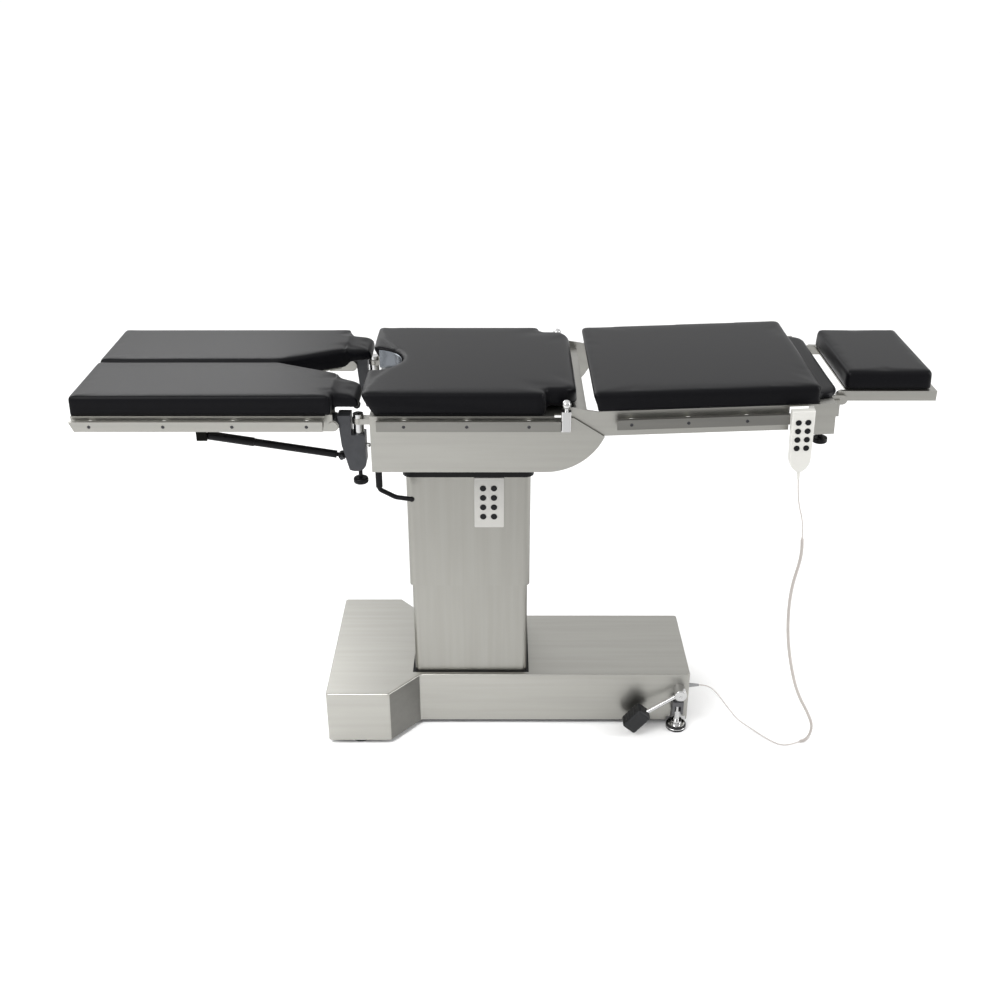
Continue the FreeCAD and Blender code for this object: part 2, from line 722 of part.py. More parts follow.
def make_keys(prefix, first_x, pitch, first_z, drop, radius, face_y, well, finish):
    """Eight round push keys in two columns, each in its own well."""
    for number_of_key in range(8):
        row, column = divmod(number_of_key, 2)
        x = "%s + %d * %s" % (first_x, column, pitch)
        z = "%s - %d * %s" % (first_z, row, drop)
        low_y = "%s - key_proud" % face_y
        key = pin_across("%s_%d_body" % (prefix, number_of_key + 1), x, z, radius,
                         low_y, "%s + %s - key_travel - 0.3" % (face_y, well))
        front = number(low_y)
        crown = soften("%s_%d_crown" % (prefix, number_of_key + 1), key, "0.8",
                       lambda edge: abs(edge.BoundBox.YMax - front) < 1e-4)
        keep(finish(crown), "%s_%d" % (prefix, number_of_key + 1))


def key_wells(name, first_x, pitch, first_z, drop, radius, face_y, well):
    wells = []
    for number_of_key in range(8):
        row, column = divmod(number_of_key, 2)
        wells.append(pin_across("%s_%d" % (name, number_of_key + 1),
                                "%s + %d * %s" % (first_x, column, pitch),
                                "%s - %d * %s" % (first_z, row, drop),
                                "%s + key_gap" % radius, "%s - 1" % face_y, "%s + %s" % (face_y, well)))
    return wells


def make_control_panel():
    face_y = "(-column_half_y - panel_thick)"
    plate = slab("panel_plate", "XZ",
                 rectangle("panel_left", "panel_bottom", "panel_right", "panel_top"),
                 face_y, "-column_half_y")
    fillet(plate, "3", lambda edge: runs_along(edge, FreeCAD.Vector(0, 1, 0)))
    keys = ("panel_key_x", "panel_key_pitch", "panel_key_top", "panel_key_drop", "panel_key_radius",
            face_y, "3")
    keep(cut("panel", plate, *key_wells("panel_well", *keys)), "control_panel")
    make_keys("panel_button", *keys, lambda item: item)


# Seat section

def make_seat_frame():
    skirt_outer = "table_half + 2"
    outline = [("seat_left", "seat_skirt_bottom"),
               ("seat_skirt_flat_right", "seat_skirt_bottom", "seat_skirt_radius"),
               ("seat_skirt_right", "seat_skirt_tip"),
               ("seat_seam_x", "seat_deck_top - deck_sheet"),
               ("seat_left", "seat_deck_top - deck_sheet")]
    deck_low = "seat_deck_top - deck_sheet"
    deck = slab("seat_deck", "XY", rectangle("seat_left", "-(%s)" % skirt_outer,
                                             "seat_deck_right", skirt_outer), deck_low, "seat_deck_top")
    pieces = [deck,
              box("seat_ledge", ("seat_deck_right - 10", "-seat_ledge_half", deck_low),
                  ("seat_ledge_right", "seat_ledge_half", "seat_deck_top")),
              box("seat_left_wall", ("seat_left", "-(%s)" % skirt_outer, "850"),
                  ("seat_left + 6", skirt_outer, deck_low)),
              box("seat_right_wall", ("seat_deck_right - 6", "-(%s)" % skirt_outer, "905"),
                  ("seat_deck_right", skirt_outer, deck_low))]
    for word, side in SIDES.items():
        low_y, high_y = span(side, "%s - side_sheet" % skirt_outer, skirt_outer)
        pieces.append(slab("seat_skirt_" + word, "XZ", outline, low_y, high_y))
        pieces += rail("seat_rail_" + word, side, "seat_rail_left", "seat_rail_right",
                       ("-241", "-91", "57"), skirt_outer)
        low_y, high_y = span(side, "swing_y - 14", "swing_y + 14")
        pieces.append(box("swing_arm_" + word, ("swing_x", low_y, "arm_bottom"),
                          ("seat_left + 6", high_y, "arm_top")))
        pieces.append(cylinder("swing_eye_" + word, ("swing_x", "%d * swing_y" % side, "arm_bottom"),
                               "14.9", "arm_top - arm_bottom"))
    for word, sign in (("left", "-"), ("right", "+")):
        middle = "column_x %s (tilt_ear_inner + tilt_ear_thick / 2)" % sign
        pieces += ear("hanger_" + word, "YZ", "0", "%s - tilt_ear_thick / 2" % middle,
                      "%s + tilt_ear_thick / 2" % middle, deck_low, "tilt_ear_radius")
    pieces.append(cylinder("lever_boss", ("lever_x", "lever_y", "seat_skirt_bottom - 4"), "11", "60"))
    solid = fuse("seat_solid", *pieces)
    holes = [cylinder("tilt_bore", ("column_x - 130", "0", "tilt_z"), "tilt_pin_radius + running_gap",
                      "260", "X"),
             cylinder("lever_bore", ("lever_x", "lever_y", "seat_skirt_bottom - 16"),
                      "lever_radius + running_gap", "60")]
    for word, side in SIDES.items():
        holes.append(cylinder("swing_bore_" + word, ("swing_x", "%d * swing_y" % side, "arm_bottom - 1"),
                              "swing_pin_radius + running_gap", "40"))
    return keep(cut("seat_weldment", solid, *holes), "seat_frame")


def make_seat_pad():
    top = "seat_deck_top + seat_pad_height"
    plan = rectangle("seat_pad_left", "-table_half", "seat_pad_right", "table_half")
    main = slab("seat_pad_main", "XY", plan, "seat_deck_top", top)
    fillet(main, "pad_corner", upright)
    height = number(top)
    fillet(main, "pad_edge", lambda edge: lies_at(edge, height))
    plan = rectangle("seat_pad_right - 20", "-seat_tongue_half", "seat_tongue_right", "seat_tongue_half")
    tongue = slab("seat_pad_tongue", "XY", plan, "seat_tongue_low", "seat_tongue_high")
    right = number("seat_tongue_right")
    fillet(tongue, "tongue_corner", lambda edge: upright(edge) and abs(edge.BoundBox.XMax - right) < 1e-4)
    undercut = slab("seat_pad_slope", "XZ",
                    [("seat_pad_left - 1", "seat_deck_top - 1"),
                     ("seat_pad_left + seat_pad_undercut", "seat_deck_top - 1"),
                     ("seat_pad_left - 1", "%s - 6" % top)], "-table_half - 1", "table_half + 1")
    bay = cylinder("perineal_bay", ("seat_pad_left", "0", "seat_deck_top - 1"), "perineal_radius",
                   "seat_pad_height + 2")
    keep(cut("seat_pad_cut", fuse("seat_pad_solid", main, tongue), undercut, bay), "seat_cushion")


def make_hinge_pins():
    """The bright pins on which the leg sections swing and the posts that carry the back section."""
    pins = []
    for word, side in SIDES.items():
        y = "%d * swing_y" % side
        pins.append(cylinder("swing_barrel_" + word, ("swing_x", y, "casting_shelf + 0.3"),
                             "swing_pin_radius", "swing_pin_top - casting_shelf - 0.3"))
        pins.append(cylinder("swing_shank_" + word, ("swing_x", y, "casting_shelf - 40"),
                             "swing_shank_radius", "60"))
        low_y, high_y = span(side, "table_half - 12", "table_half + 3")
        pins.append(pin_across("back_pin_" + word, "back_pivot_x", "back_pivot_z", "back_pin_radius",
                               low_y, high_y))
        low_y, high_y = span(side, "table_half + 2", "table_half + 20")
        block = box("post_block_" + word, ("seat_rail_right + 0.3", low_y, "950"),
                    ("seat_rail_right + 24.3", high_y, "1001"))
        y = "%d * (table_half + 11)" % side
        neck = cylinder("post_neck_" + word, ("seat_rail_right + 12.3", y, "1000"), "5", "12")
        ball = doc.addObject("Part::Sphere", "post_ball_" + word)
        bind(ball, "Radius", "11")
        place(ball, "seat_rail_right + 12.3", y, "1018")
        pins += [soften("post_round_" + word, block, "4", upright), neck, ball]
    keep(fuse("hinge_pin_set", *pins), "hinge_pins")


def sweep_along(name, points, radius, bends):
    """A round bar along straight runs joined by tangent arcs."""
    shape = pipe([FreeCAD.Vector(*p) for p in points], radius, bends)
    item = doc.addObject("Part::Feature", name)
    item.Shape = shape
    return item


def pipe(points, radius, bends):
    """The solid of a round bar whose corners are rounded by the given radii."""
    edges, start = [], points[0]
    for corner, after, bend in zip(points[1:-1], points[2:], bends):
        back, ahead = (start - corner).normalize(), (after - corner).normalize()
        half = (math.pi - back.getAngle(ahead)) / 2
        reach = bend * math.tan(half)
        entry, leave = corner + back * reach, corner + ahead * reach
        middle = (back + ahead).normalize() * (bend / math.cos(half) - bend) + corner
        edges += [Part.LineSegment(start, entry).toShape(), Part.Arc(entry, middle, leave).toShape()]
        start = leave
    edges.append(Part.LineSegment(start, points[-1]).toShape())
    path = Part.Wire(edges)
    ring = Part.Wire(Part.Circle(points[0], points[1] - points[0], radius).toShape())
    solid = path.makePipeShell([ring], True, False)
    if abs(solid.Volume / (math.pi * radius ** 2 * path.Length) - 1) > 0.01:
        raise RuntimeError("a round bar's volume doesn't match its length")
    return solid


def make_clamp_lever():
    x, y, reach = number("lever_x"), number("lever_y"), number("lever_reach")
    elbow, fall = number("lever_elbow"), number("lever_fall")
    points = [(x, y, number("lever_top")), (x, y, elbow), (x + reach / 2, y, elbow - fall),
              (x + reach, y, elbow - fall - 6)]
    bar = sweep_along("lever_bar", points, number("lever_radius"),
                      (number("lever_bend"), number("lever_sweep")))
    sleeve = cylinder("lever_sleeve", ("lever_x", "lever_y", "lever_sleeve_low"), "lever_sleeve_radius",
                      "seat_skirt_bottom - 5 - lever_sleeve_low")
    sleeve = soften("lever_sleeve_round", sleeve, "2", lambda edge: isinstance(edge.Curve, Part.Circle))
    grip = doc.addObject("Part::Sphere", "lever_end")
    bind(grip, "Radius", "lever_radius + 1")
    grip.Placement.Base = FreeCAD.Vector(*points[-1])
    keep(fuse("lever", bar, sleeve, grip), "clamp_lever")


# Back and head sections

def make_back_frame():
    outer = "table_half + 2 - side_sheet - back_skirt_gap"
    deck_low = "back_deck_top - deck_sheet"
    outline = [("back_pivot_x - 9", "back_pivot_z - 12"), ("seat_skirt_right - 8", "back_skirt_bottom"),
               ("back_skirt_right", "back_skirt_bottom"), ("back_skirt_right", deck_low),
               ("back_deck_left + 14", deck_low), ("back_pivot_x", "back_pivot_z + back_ear_radius")]
    pieces = [slab("back_deck", "XY", rectangle("back_deck_left", "-(%s)" % outer, "block_right", outer),
                   deck_low, "back_deck_top")]
    for word, side in SIDES.items():
        low_y, high_y = span(side, "%s - side_sheet" % outer, outer)
        pieces.append(slab("back_skirt_" + word, "XZ", outline, low_y, high_y))
        pieces.append(pin_across("back_ear_" + word, "back_pivot_x", "back_pivot_z", "back_ear_radius",
                                 low_y, high_y))
        pieces += rail("back_rail_" + word, side, "back_rail_left", "back_rail_right",
                       ("300", "435", "574", "655"), outer)
        low_y, high_y = span(side, "block_inner", outer)
        pieces.append(box("head_block_" + word, ("block_left", low_y, "block_bottom"),
                          ("block_right", high_y, deck_low)))
        low_y, high_y = span(side, "head_bar_outer + 2", "head_bar_outer + 10")
        pieces.append(box("head_link_" + word, ("block_left + 6", low_y, "head_pivot_z - 14"),
                          ("head_pivot_x", high_y, "head_pivot_z + 10")))
        pieces.append(pin_across("head_link_end_" + word, "head_pivot_x", "head_pivot_z - 2", "12",
                                 low_y, high_y))
        low_y, high_y = span(side, "head_bar_outer - head_bar_width - 1", "head_bar_outer + 10")
        pieces.append(pin_across("head_pin_" + word, "head_pivot_x", "head_pivot_z", "head_pin_radius",
                                 low_y, high_y))
        low_y, high_y = span(side, "head_bar_outer + 2", "block_inner + 1")
        pieces.append(box("head_link_root_" + word, ("block_left + 6", low_y, "head_pivot_z - 14"),
                          ("block_right", high_y, deck_low)))
    pieces.append(box("head_latch", ("801", "-(head_bar_outer + 15)", "931"),
                      ("814", "-(head_bar_outer + 9)", "head_pivot_z")))
    pieces.append(box("back_cross_rib", ("500", "-(%s)" % outer, "back_skirt_bottom + 20"),
                      ("506", outer, deck_low)))
    solid = fuse("back_solid", *pieces)
    holes = []
    for word, side in SIDES.items():
        low_y, high_y = span(side, "%s - side_sheet - 2" % outer, outer + " + 1")
        holes.append(pin_across("back_bore_" + word, "back_pivot_x", "back_pivot_z",
                                "back_pin_radius + running_gap", low_y, high_y))
        y = "%d * (table_half - head_knob_inset)" % side
        holes.append(cylinder("knob_bore_" + word, ("block_middle", y, "block_bottom - 1"),
                              "head_stem_radius + running_gap", "30"))
    keep(raise_with_back(cut("back_weldment", solid, *holes)), "back_frame")


def make_back_pad():
    top = "back_deck_top + back_pad_height"
    plan = rectangle("back_pad_left", "-table_half", "back_pad_right", "table_half")
    main = slab("back_pad_main", "XY", plan, "back_deck_top", top)
    fillet(main, "pad_corner", upright)
    height = number(top)
    fillet(main, "pad_edge", lambda edge: lies_at(edge, height))
    plan = rectangle("back_pad_right - 20", "-back_tongue_half", "back_tongue_right", "back_tongue_half")
    tongue = slab("back_pad_tongue", "XY", plan, "back_deck_top", "back_tongue_high")
    right = number("back_tongue_right")
    fillet(tongue, "tongue_corner", lambda edge: upright(edge) and abs(edge.BoundBox.XMax - right) < 1e-4)
    tongue_top = number("back_tongue_high")
    fillet(tongue, "pad_edge", lambda edge: lies_at(edge, tongue_top))
    undercut = slab("back_pad_slope", "XZ",
                    [("back_pad_left - 1", "back_deck_top - 1"),
                     ("back_pad_left + back_pad_undercut", "back_deck_top - 1"),
                     ("back_pad_left - 1", "%s - 6" % top)], "-table_half - 1", "table_half + 1")
    keep(raise_with_back(cut("back_pad_cut", fuse("back_pad_solid", main, tongue), undercut)), "back_cushion")


def make_head():
    deck_low = "head_deck_top - deck_sheet"
    inner = "head_bar_outer - head_bar_width"
    pieces = [box("head_deck", ("head_pad_left + 2", "-(%s)" % inner, deck_low),
                  ("head_bar_right", inner, "head_deck_top"))]
    for word, side in SIDES.items():
        low_y, high_y = span(side, inner, "head_bar_outer")
        low_z = "head_deck_top - head_bar_height"
        pieces.append(box("head_bar_" + word, ("head_pivot_x", low_y, low_z),
                          ("head_bar_right", high_y, "head_deck_top")))
        pieces.append(pin_across("head_eye_" + word, "head_pivot_x", "head_pivot_z + 4", "14", low_y, high_y))
    solid = fuse("head_solid", *pieces)
    bore = pin_across("head_bore", "head_pivot_x", "head_pivot_z", "head_pin_radius + running_gap",
                      "-(head_bar_outer + 1)", "head_bar_outer + 1")
    keep(lift_with_back(cut("head_weldment", solid, bore)), "head_frame")
    top = "head_deck_top + head_pad_height"
    plan = rectangle("head_pad_left", "-head_pad_half", "head_pad_right", "head_pad_half")
    pad = slab("head_pad", "XY", plan, "head_deck_top", top)
    fillet(pad, "pad_corner - 2", upright)
    height = number(top)
    fillet(pad, "pad_edge", lambda edge: lies_at(edge, height))
    keep(lift_with_back(pad), "head_cushion")
    spot = ("block_middle", "head_knob_y")
    stem = cylinder("head_knob_stem", spot + ("block_bottom - 20",), "head_stem_radius", "40")
    grip = cylinder("head_knob_grip", spot + ("block_bottom - 30",), "head_knob_radius", "13")
    grip = soften("head_knob_round", grip, "3", lambda edge: isinstance(edge.Curve, Part.Circle))
    keep(raise_with_back(fuse("head_knob", stem, grip)), "head_lock_knob")


# Leg sections, one on each side

def make_leg(word, side):
    low_y, high_y = span(side, "swing_y - casting_half", "swing_y + casting_half")
    outline = [("casting_left", "casting_top"), ("casting_left + 6", "casting_bottom + 66"),
               ("casting_left + 22", "casting_bottom", "34"), ("casting_right - 10", "casting_bottom", "24"),
               ("casting_right", "casting_bottom + 22"), ("casting_right", "casting_shelf"),
               ("casting_notch_x", "casting_shelf"), ("casting_notch_x", "casting_top")]
    casting = slab("casting_%s" % word, "XZ", outline, low_y, high_y)
    y = "%d * swing_y" % side
    stud_low, stud_high = span(side, "spring_y - 8", "swing_y - casting_half + 1")
    extra = [pin_across("spring_stud_" + word, "spring_low_x", "spring_low_z", "5", stud_low, stud_high),
             cylinder("swing_stop_" + word, ("casting_right - 2", y, "888"), "4", "12", "X"),
             pin_across("fold_boss_" + word, "leg_fold_x", "leg_fold_z", "15", low_y, high_y)]
    holes = [cylinder("shank_bore_" + word, ("swing_x", y, "casting_shelf - 42"),
                      "swing_shank_radius + running_gap", "50"),
             pin_across("fold_bore_" + word, "leg_fold_x", "leg_fold_z", "leg_pin_radius + running_gap",
                        low_y + " - 1", high_y + " + 1"),
             cylinder("knob_bore_" + word, ("swing_x - 2", y, "casting_bottom - 15"),
                      "5 + running_gap", "36")]
    keep(cut("hinge_" + word, fuse("hinge_solid_" + word, casting, *extra), *holes), "leg_hinge_" + word)

    knob_spot = ("swing_x - 2", y)
    stem = cylinder("leg_knob_stem_" + word, knob_spot + ("leg_knob_top - 2",), "5",
                    "casting_bottom - leg_knob_top + 20")
    grip = cylinder("leg_knob_grip_" + word, knob_spot + ("leg_knob_top - leg_knob_height",),
                    "leg_knob_radius", "leg_knob_height")
    grip = soften("leg_knob_round_" + word, grip, "5", lambda edge: isinstance(edge.Curve, Part.Circle))
    keep(fuse("leg_knob_%s_solid" % word, stem, grip), "leg_knob_" + word)
    make_leg_frame(word, side)
    make_leg_pad(word, side)
    make_gas_spring(word, side)


def leg_outline(side, outer, left, right, split):
    """The plan of one leg section: a straight outer edge and an inner edge that opens in a vee."""
    points = [(left, outer), (right, outer), (right, "leg_vee_half"),
              ("leg_vee_left", split), (left, split)]
    placed = [(x, "%d * (%s)" % (side, y)) for x, y in points]
    return placed if side == NEAR else placed[::-1]


def make_leg_frame(word, side):
    outer = "table_half + 2"
    deck_low = "leg_deck_top - deck_sheet"
    deck = slab("leg_deck_" + word, "XY",
                leg_outline(side, outer, "leg_left", "leg_rail_right + 4", "leg_split + 4"),
                deck_low, "leg_deck_top")
    low_y, high_y = span(side, "%s - side_sheet" % outer, outer)
    pieces = [deck, box("leg_flange_" + word, ("leg_left", low_y, "rail_top - rail_height + 3"),
                        ("leg_rail_right", high_y, deck_low))]
    pieces += rail("leg_rail_" + word, side, "leg_rail_left", "leg_rail_right",
                   ("-989", "-813", "-649", "-472"), outer, "leg_rail_slant")
    low_y, high_y = span(side, "leg_split + 14", "%s - side_sheet" % outer)
    pieces.append(box("leg_end_" + word, ("leg_left + 30", low_y, "rail_top - rail_height + 3"),
                      ("leg_left + 34", high_y, deck_low)))
    inner_face, outer_face = "swing_y - casting_half - leg_lug_gap", "swing_y + casting_half + leg_lug_gap"
    lugs = ((inner_face + " - leg_lug", inner_face), (outer_face, outer_face + " + leg_lug"))
    for i, (start, end) in enumerate(lugs):
        low_y, high_y = span(side, start, end)
        pieces.append(box("leg_lug_%s_%d" % (word, i), ("leg_fold_x - 60", low_y, "leg_fold_z - 14"),
                          ("leg_fold_x", high_y, deck_low)))
        pieces.append(pin_across("leg_lug_end_%s_%d" % (word, i), "leg_fold_x", "leg_fold_z", "14",
                                 low_y, high_y))
    low_y, high_y = span(side, inner_face + " - leg_lug", outer_face + " + leg_lug + 3")
    pieces.append(pin_across("leg_pin_" + word, "leg_fold_x", "leg_fold_z", "leg_pin_radius", low_y, high_y))
    low_y, high_y = span(side, outer_face + " + leg_lug", outer_face + " + leg_lug + 3")
    pieces.append(pin_across("leg_pin_head_" + word, "leg_fold_x", "leg_fold_z", "11.5", low_y, high_y))
    low_y, high_y = span(side, "spring_y + spring_tube_radius + 0.5", "spring_y + spring_tube_radius + 6.5")
    pieces.append(box("spring_lug_" + word, ("spring_high_x - 13", low_y, "spring_high_z - 11"),
                      ("spring_high_x + 13", high_y, deck_low)))
    low_y, high_y = span(side, "spring_y + 6.3", "spring_y + spring_tube_radius + 1")
    pieces.append(pin_across("spring_pin_" + word, "spring_high_x", "spring_high_z", "5", low_y, high_y))
    keep(fuse("leg_weldment_" + word, *pieces), "leg_frame_" + word)


def make_leg_pad(word, side):
    top = "leg_deck_top + leg_pad_height"
    main = slab("leg_pad_main_" + word, "XY",
                leg_outline(side, "table_half", "leg_pad_left", "leg_pad_right", "leg_split"),
                "leg_deck_top", top)
    height = number(top)
    fillet(main, "9", lambda edge: lies_at(edge, height))
    points = [("leg_pad_right - 24", "leg_tongue_outer"), ("leg_tongue_right", "leg_tongue_outer"),
              ("leg_tongue_right", "leg_vee_mouth"), ("leg_pad_right - 24", "leg_vee_half")]
    placed = [(x, "%d * %s" % (side, y)) for x, y in points]
    tongue = slab("leg_pad_tongue_" + word, "XY", placed if side == NEAR else placed[::-1],
                  "leg_tongue_low", "leg_tongue_high")
    keep(fuse("leg_pad_" + word, main, tongue), "leg_cushion_" + word)


def make_gas_spring(word, side):
    """A cylinder on the hinge casting and a rod that slides out of it to the leg section."""
    high = FreeCAD.Vector(number("spring_high_x"), side * number("spring_y"), number("spring_high_z"))
    low = FreeCAD.Vector(number("spring_low_x"), side * number("spring_y"), number("spring_low_z"))
    along = (high - low).normalize()
    span_length = (high - low).Length
    tube_length, tube_radius = number("spring_tube_length"), number("spring_tube_radius")
    rod_radius, gap = number("spring_rod_radius"), number("running_gap")
    across = FreeCAD.Vector(0, 1, 0)
    eye = Part.makeCylinder(10, 12, low - across * 6, across)
    barrel = Part.makeCylinder(tube_radius, tube_length, low + along * 14, along)
    neck = Part.makeCylinder(5.2, 12, low + along * 5, along)
    bore = Part.makeCylinder(rod_radius + gap, tube_length, low + along * 24, along)
    hole = Part.makeCylinder(5 + gap, 20, low - across * 10, across)
    tube_part = doc.addObject("Part::Feature", "spring_cylinder_" + word)
    tube_part.Shape = eye.fuse([barrel, neck]).cut([bore, hole]).removeSplitter()
    keep(tube_part, "gas_spring_tube_" + word)
    inside = 115
    rod = Part.makeCylinder(rod_radius, span_length - inside - 4, low + along * inside, along)
    end_eye = Part.makeCylinder(9, 12, high - across * 6, across)
    rod_part = doc.addObject("Part::Feature", "spring_piston_" + word)
    rod_part.Shape = rod.fuse([end_eye]).removeSplitter()
    keep(rod_part, "gas_spring_rod_" + word)


# Feet, wheels and pedal

def make_feet():
    stems = []
    for i, (x, y) in enumerate(foot_places()):
        top = "bracket_high - 4" if x == "foot_x" else "deck_high + 8"
        stems += [cylinder("foot_stem_%d" % i, (x, y, "pad_height - 3"), "stem_radius",
                           "%s - pad_height + 3" % top),
                  cylinder("foot_collar_%d" % i, (x, y, "pad_height"), "stem_radius + 7", "12")]
    keep(fuse("foot_stems", *stems), "lock_foot_stems")
    pads = []
    rim = number("pad_height")
    for i, (x, y) in enumerate(foot_places()):
        disc = cylinder("pad_disc_%d" % i, (x, y, "0"), "pad_radius", "pad_height")
        disc = soften("pad_round_%d" % i, disc, "3", lambda edge: lies_at(edge, rim))
        hole = cylinder("pad_hole_%d" % i, (x, y, "pad_height - 3"), "stem_radius", "10")
        pads.append(cut("pad_%d" % i, disc, hole))
    keep(fuse("foot_pads", *pads), "lock_foot_pads")


def make_wheel(name, x, y, radius, width):
    low_y, high_y = "%s - %s / 2" % (y, width), "%s + %s / 2" % (y, width)
    tread = pin_across(name + "_tread", x, "wheel_radius", radius, low_y, high_y)
    return soften(name + "_round", tread, "4", lambda edge: isinstance(edge.Curve, Part.Circle))


def make_wheels():
    sides = []
    for word, side in SIDES.items():
        sides.append(make_wheel("fixed_" + word, "fixed_x", "%d * fixed_y" % side,
                                "wheel_radius", "wheel_width"))
    reach = "fixed_y + wheel_width / 2 + 7"
    axle = pin_across("fixed_axle", "fixed_x", "wheel_radius", "axle_radius", "-(%s)" % reach, reach)
    keep(fuse("fixed_wheel_pair", axle, *sides), "fixed_wheels")
    for word, side in SIDES.items():
        y = "%d * caster_y" % side
        axle_x = "caster_x - caster_trail"
        tread = make_wheel("caster_" + word, axle_x, y, "wheel_radius", "wheel_width")
        bore = pin_across("caster_hub_" + word, axle_x, "wheel_radius", "axle_radius + running_gap",
                          y + " - 20", y + " + 20")
        keep(cut("caster_tyre_" + word, tread, bore), "caster_wheel_" + word)
        crown = box("crown_" + word, ("caster_x - 34", y + " - 18", "deck_low - 14"),
                    ("caster_x + 20", y + " + 18", "deck_low - 6"))
        washer = cylinder("crown_washer_" + word, ("caster_x", y, "deck_low - 7"), "18", "6.7")
        stem = cylinder("caster_stem_" + word, ("caster_x", y, "deck_low - 7"), "10",
                        "deck_high - deck_low + 10")
        cheeks = []
        for i, shift in enumerate(("-17.5", "13.5")):
            low_y = "%s + %s" % (y, shift)
            cheeks.append(box("fork_%s_%d" % (word, i), (axle_x + " - 12", low_y, "wheel_radius - 11"),
                              (axle_x + " + 24", low_y + " + 4", "deck_low - 6")))
        pin = pin_across("caster_axle_" + word, axle_x, "wheel_radius", "axle_radius",
                         y + " - 19", y + " + 19")
        keep(fuse("caster_fork_solid_" + word, crown, washer, stem, pin, *cheeks), "caster_fork_" + word)


def make_pedal():
    hub_y = "-hub_outer"
    hub = pin_across("pedal_hub", "pedal_x", "pedal_z", "hub_radius", hub_y, "-base_half - 0.3")
    hub = soften("pedal_hub_round", hub, "3", lambda edge: abs(edge.BoundBox.YMax - number(hub_y)) < 1e-4)
    shaft = pin_across("pedal_shaft", "pedal_x", "pedal_z", "shaft_radius",
                       "-base_half - 1", "-base_half + 30")
    slope = math.radians(number("pedal_rod_slope"))
    along = FreeCAD.Vector(-math.cos(slope), -0.12, -math.sin(slope)).normalize()
    start = FreeCAD.Vector(number("pedal_x"), -number("hub_outer") + 14, number("pedal_z"))
    length = number("pedal_rod_length")
    rod = doc.addObject("Part::Feature", "pedal_rod")
    rod.Shape = Part.makeCylinder(number("pedal_rod_radius"), length, start, along)
    keep(fuse("pedal_lever", hub, shaft, rod), "brake_pedal")
    end = start + along * (length + 18)
    long_side, thick, wide = (number("pedal_pad_" + word) for word in ("length", "thick", "width"))
    pad = Part.makeBox(long_side, wide, thick, FreeCAD.Vector(-long_side / 2, -wide / 2, -thick / 2))
    pad = pad.makeFillet(7, pad.Edges)
    pad.Placement = FreeCAD.Placement(end, FreeCAD.Rotation(FreeCAD.Vector(0, 1, 0), -50))
    item = doc.addObject("Part::Feature", "pedal_rubber")
    item.Shape = pad.cut(Part.makeCylinder(number("pedal_rod_radius"), length, start, along))
    keep(item, "pedal_pad")


# Handset, gland and cord

def make_handset():
    back_y = "(-(table_half + rail_gap + 2 + rail_depth) - 0.4)"
    face_y = "(%s - handset_thick)" % back_y
    left, right = "handset_x - handset_half", "handset_x + handset_half"
    body = slab("handset_shell", "XZ",
                [(left + " + 2", "handset_bottom + 34", "40"), ("handset_x - 5", "handset_bottom"),
                 ("handset_x + 5", "handset_bottom", "40"), (right + " - 2", "handset_bottom + 34"),
                 (right, "handset_top"), (left, "handset_top")], face_y, back_y)
    front = number(face_y)
    fillet(body, "3", lambda edge: abs(edge.BoundBox.YMin - front) + abs(edge.BoundBox.YMax - front) < 1e-4)
    hook_left, hook_right = left + " + 8", right + " - 8"
    rail_back = "-(table_half + 2 + rail_gap)"
    hook = [box("hook_back", (hook_left, "%s - 1" % back_y, "rail_top - 14"),
                (hook_right, back_y, "handset_top")),
            box("hook_top", (hook_left, "%s - 1" % back_y, "rail_top + 0.4"),
                (hook_right, rail_back + " + 3.2", "rail_top + 3.4")),
            box("hook_lip", (hook_left, rail_back + " + 0.4", "rail_top - 12"),
                (hook_right, rail_back + " + 3.2", "rail_top + 3.4"))]
    keys = ("handset_key_x", "handset_key_pitch", "handset_key_top", "handset_key_drop",
            "handset_key_radius", face_y, "3")
    shell = cut("handset_wells", fuse("handset_solid", body, *hook), *key_wells("handset_well", *keys))
    keep(raise_with_back(shell), "handset")
    make_keys("handset_button", *keys, raise_with_back)


# The cord's route from the handset down to the floor and back into the base
CORD_UPPER = [(707.4, -282, 854.1), (710.8, -283, 812), (718, -282.5, 764), (734, -281, 716),
              (738, -280, 672)]
CORD_CURL = [(738, -280, 672), (743.3, -278.7, 614), (729, -272, 520), (733, -264, 420), (747, -252, 330),
             (772, -238, 230), (800, -222, 150), (836, -204, 82), (858, -204, 32), (843, -227.4, 4.6),
             (813.8, -240.6, 4.6)]
CORD_LOWER = [(813.8, -240.6, 4.6), (789, -251.8, 4.6), (760, -252, 2.2), (726, -220, 2.2), (696, -180, 2.2),
              (662, -148, 8), (636, -126, 34), (606, -107, 70), (578, -100, 95), (552, -100, 95)]


def corner_radii(points):
    """The bend at each inner point of a route: nearly half of the shorter run, over the turn."""
    radii = []
    for before, corner, after in zip(points, points[1:], points[2:]):
        back, ahead = before - corner, after - corner
        half_turn = (math.pi - back.getAngle(ahead)) / 2
        radii.append(0.45 * min(back.Length, ahead.Length) / math.tan(half_turn))
    return radii


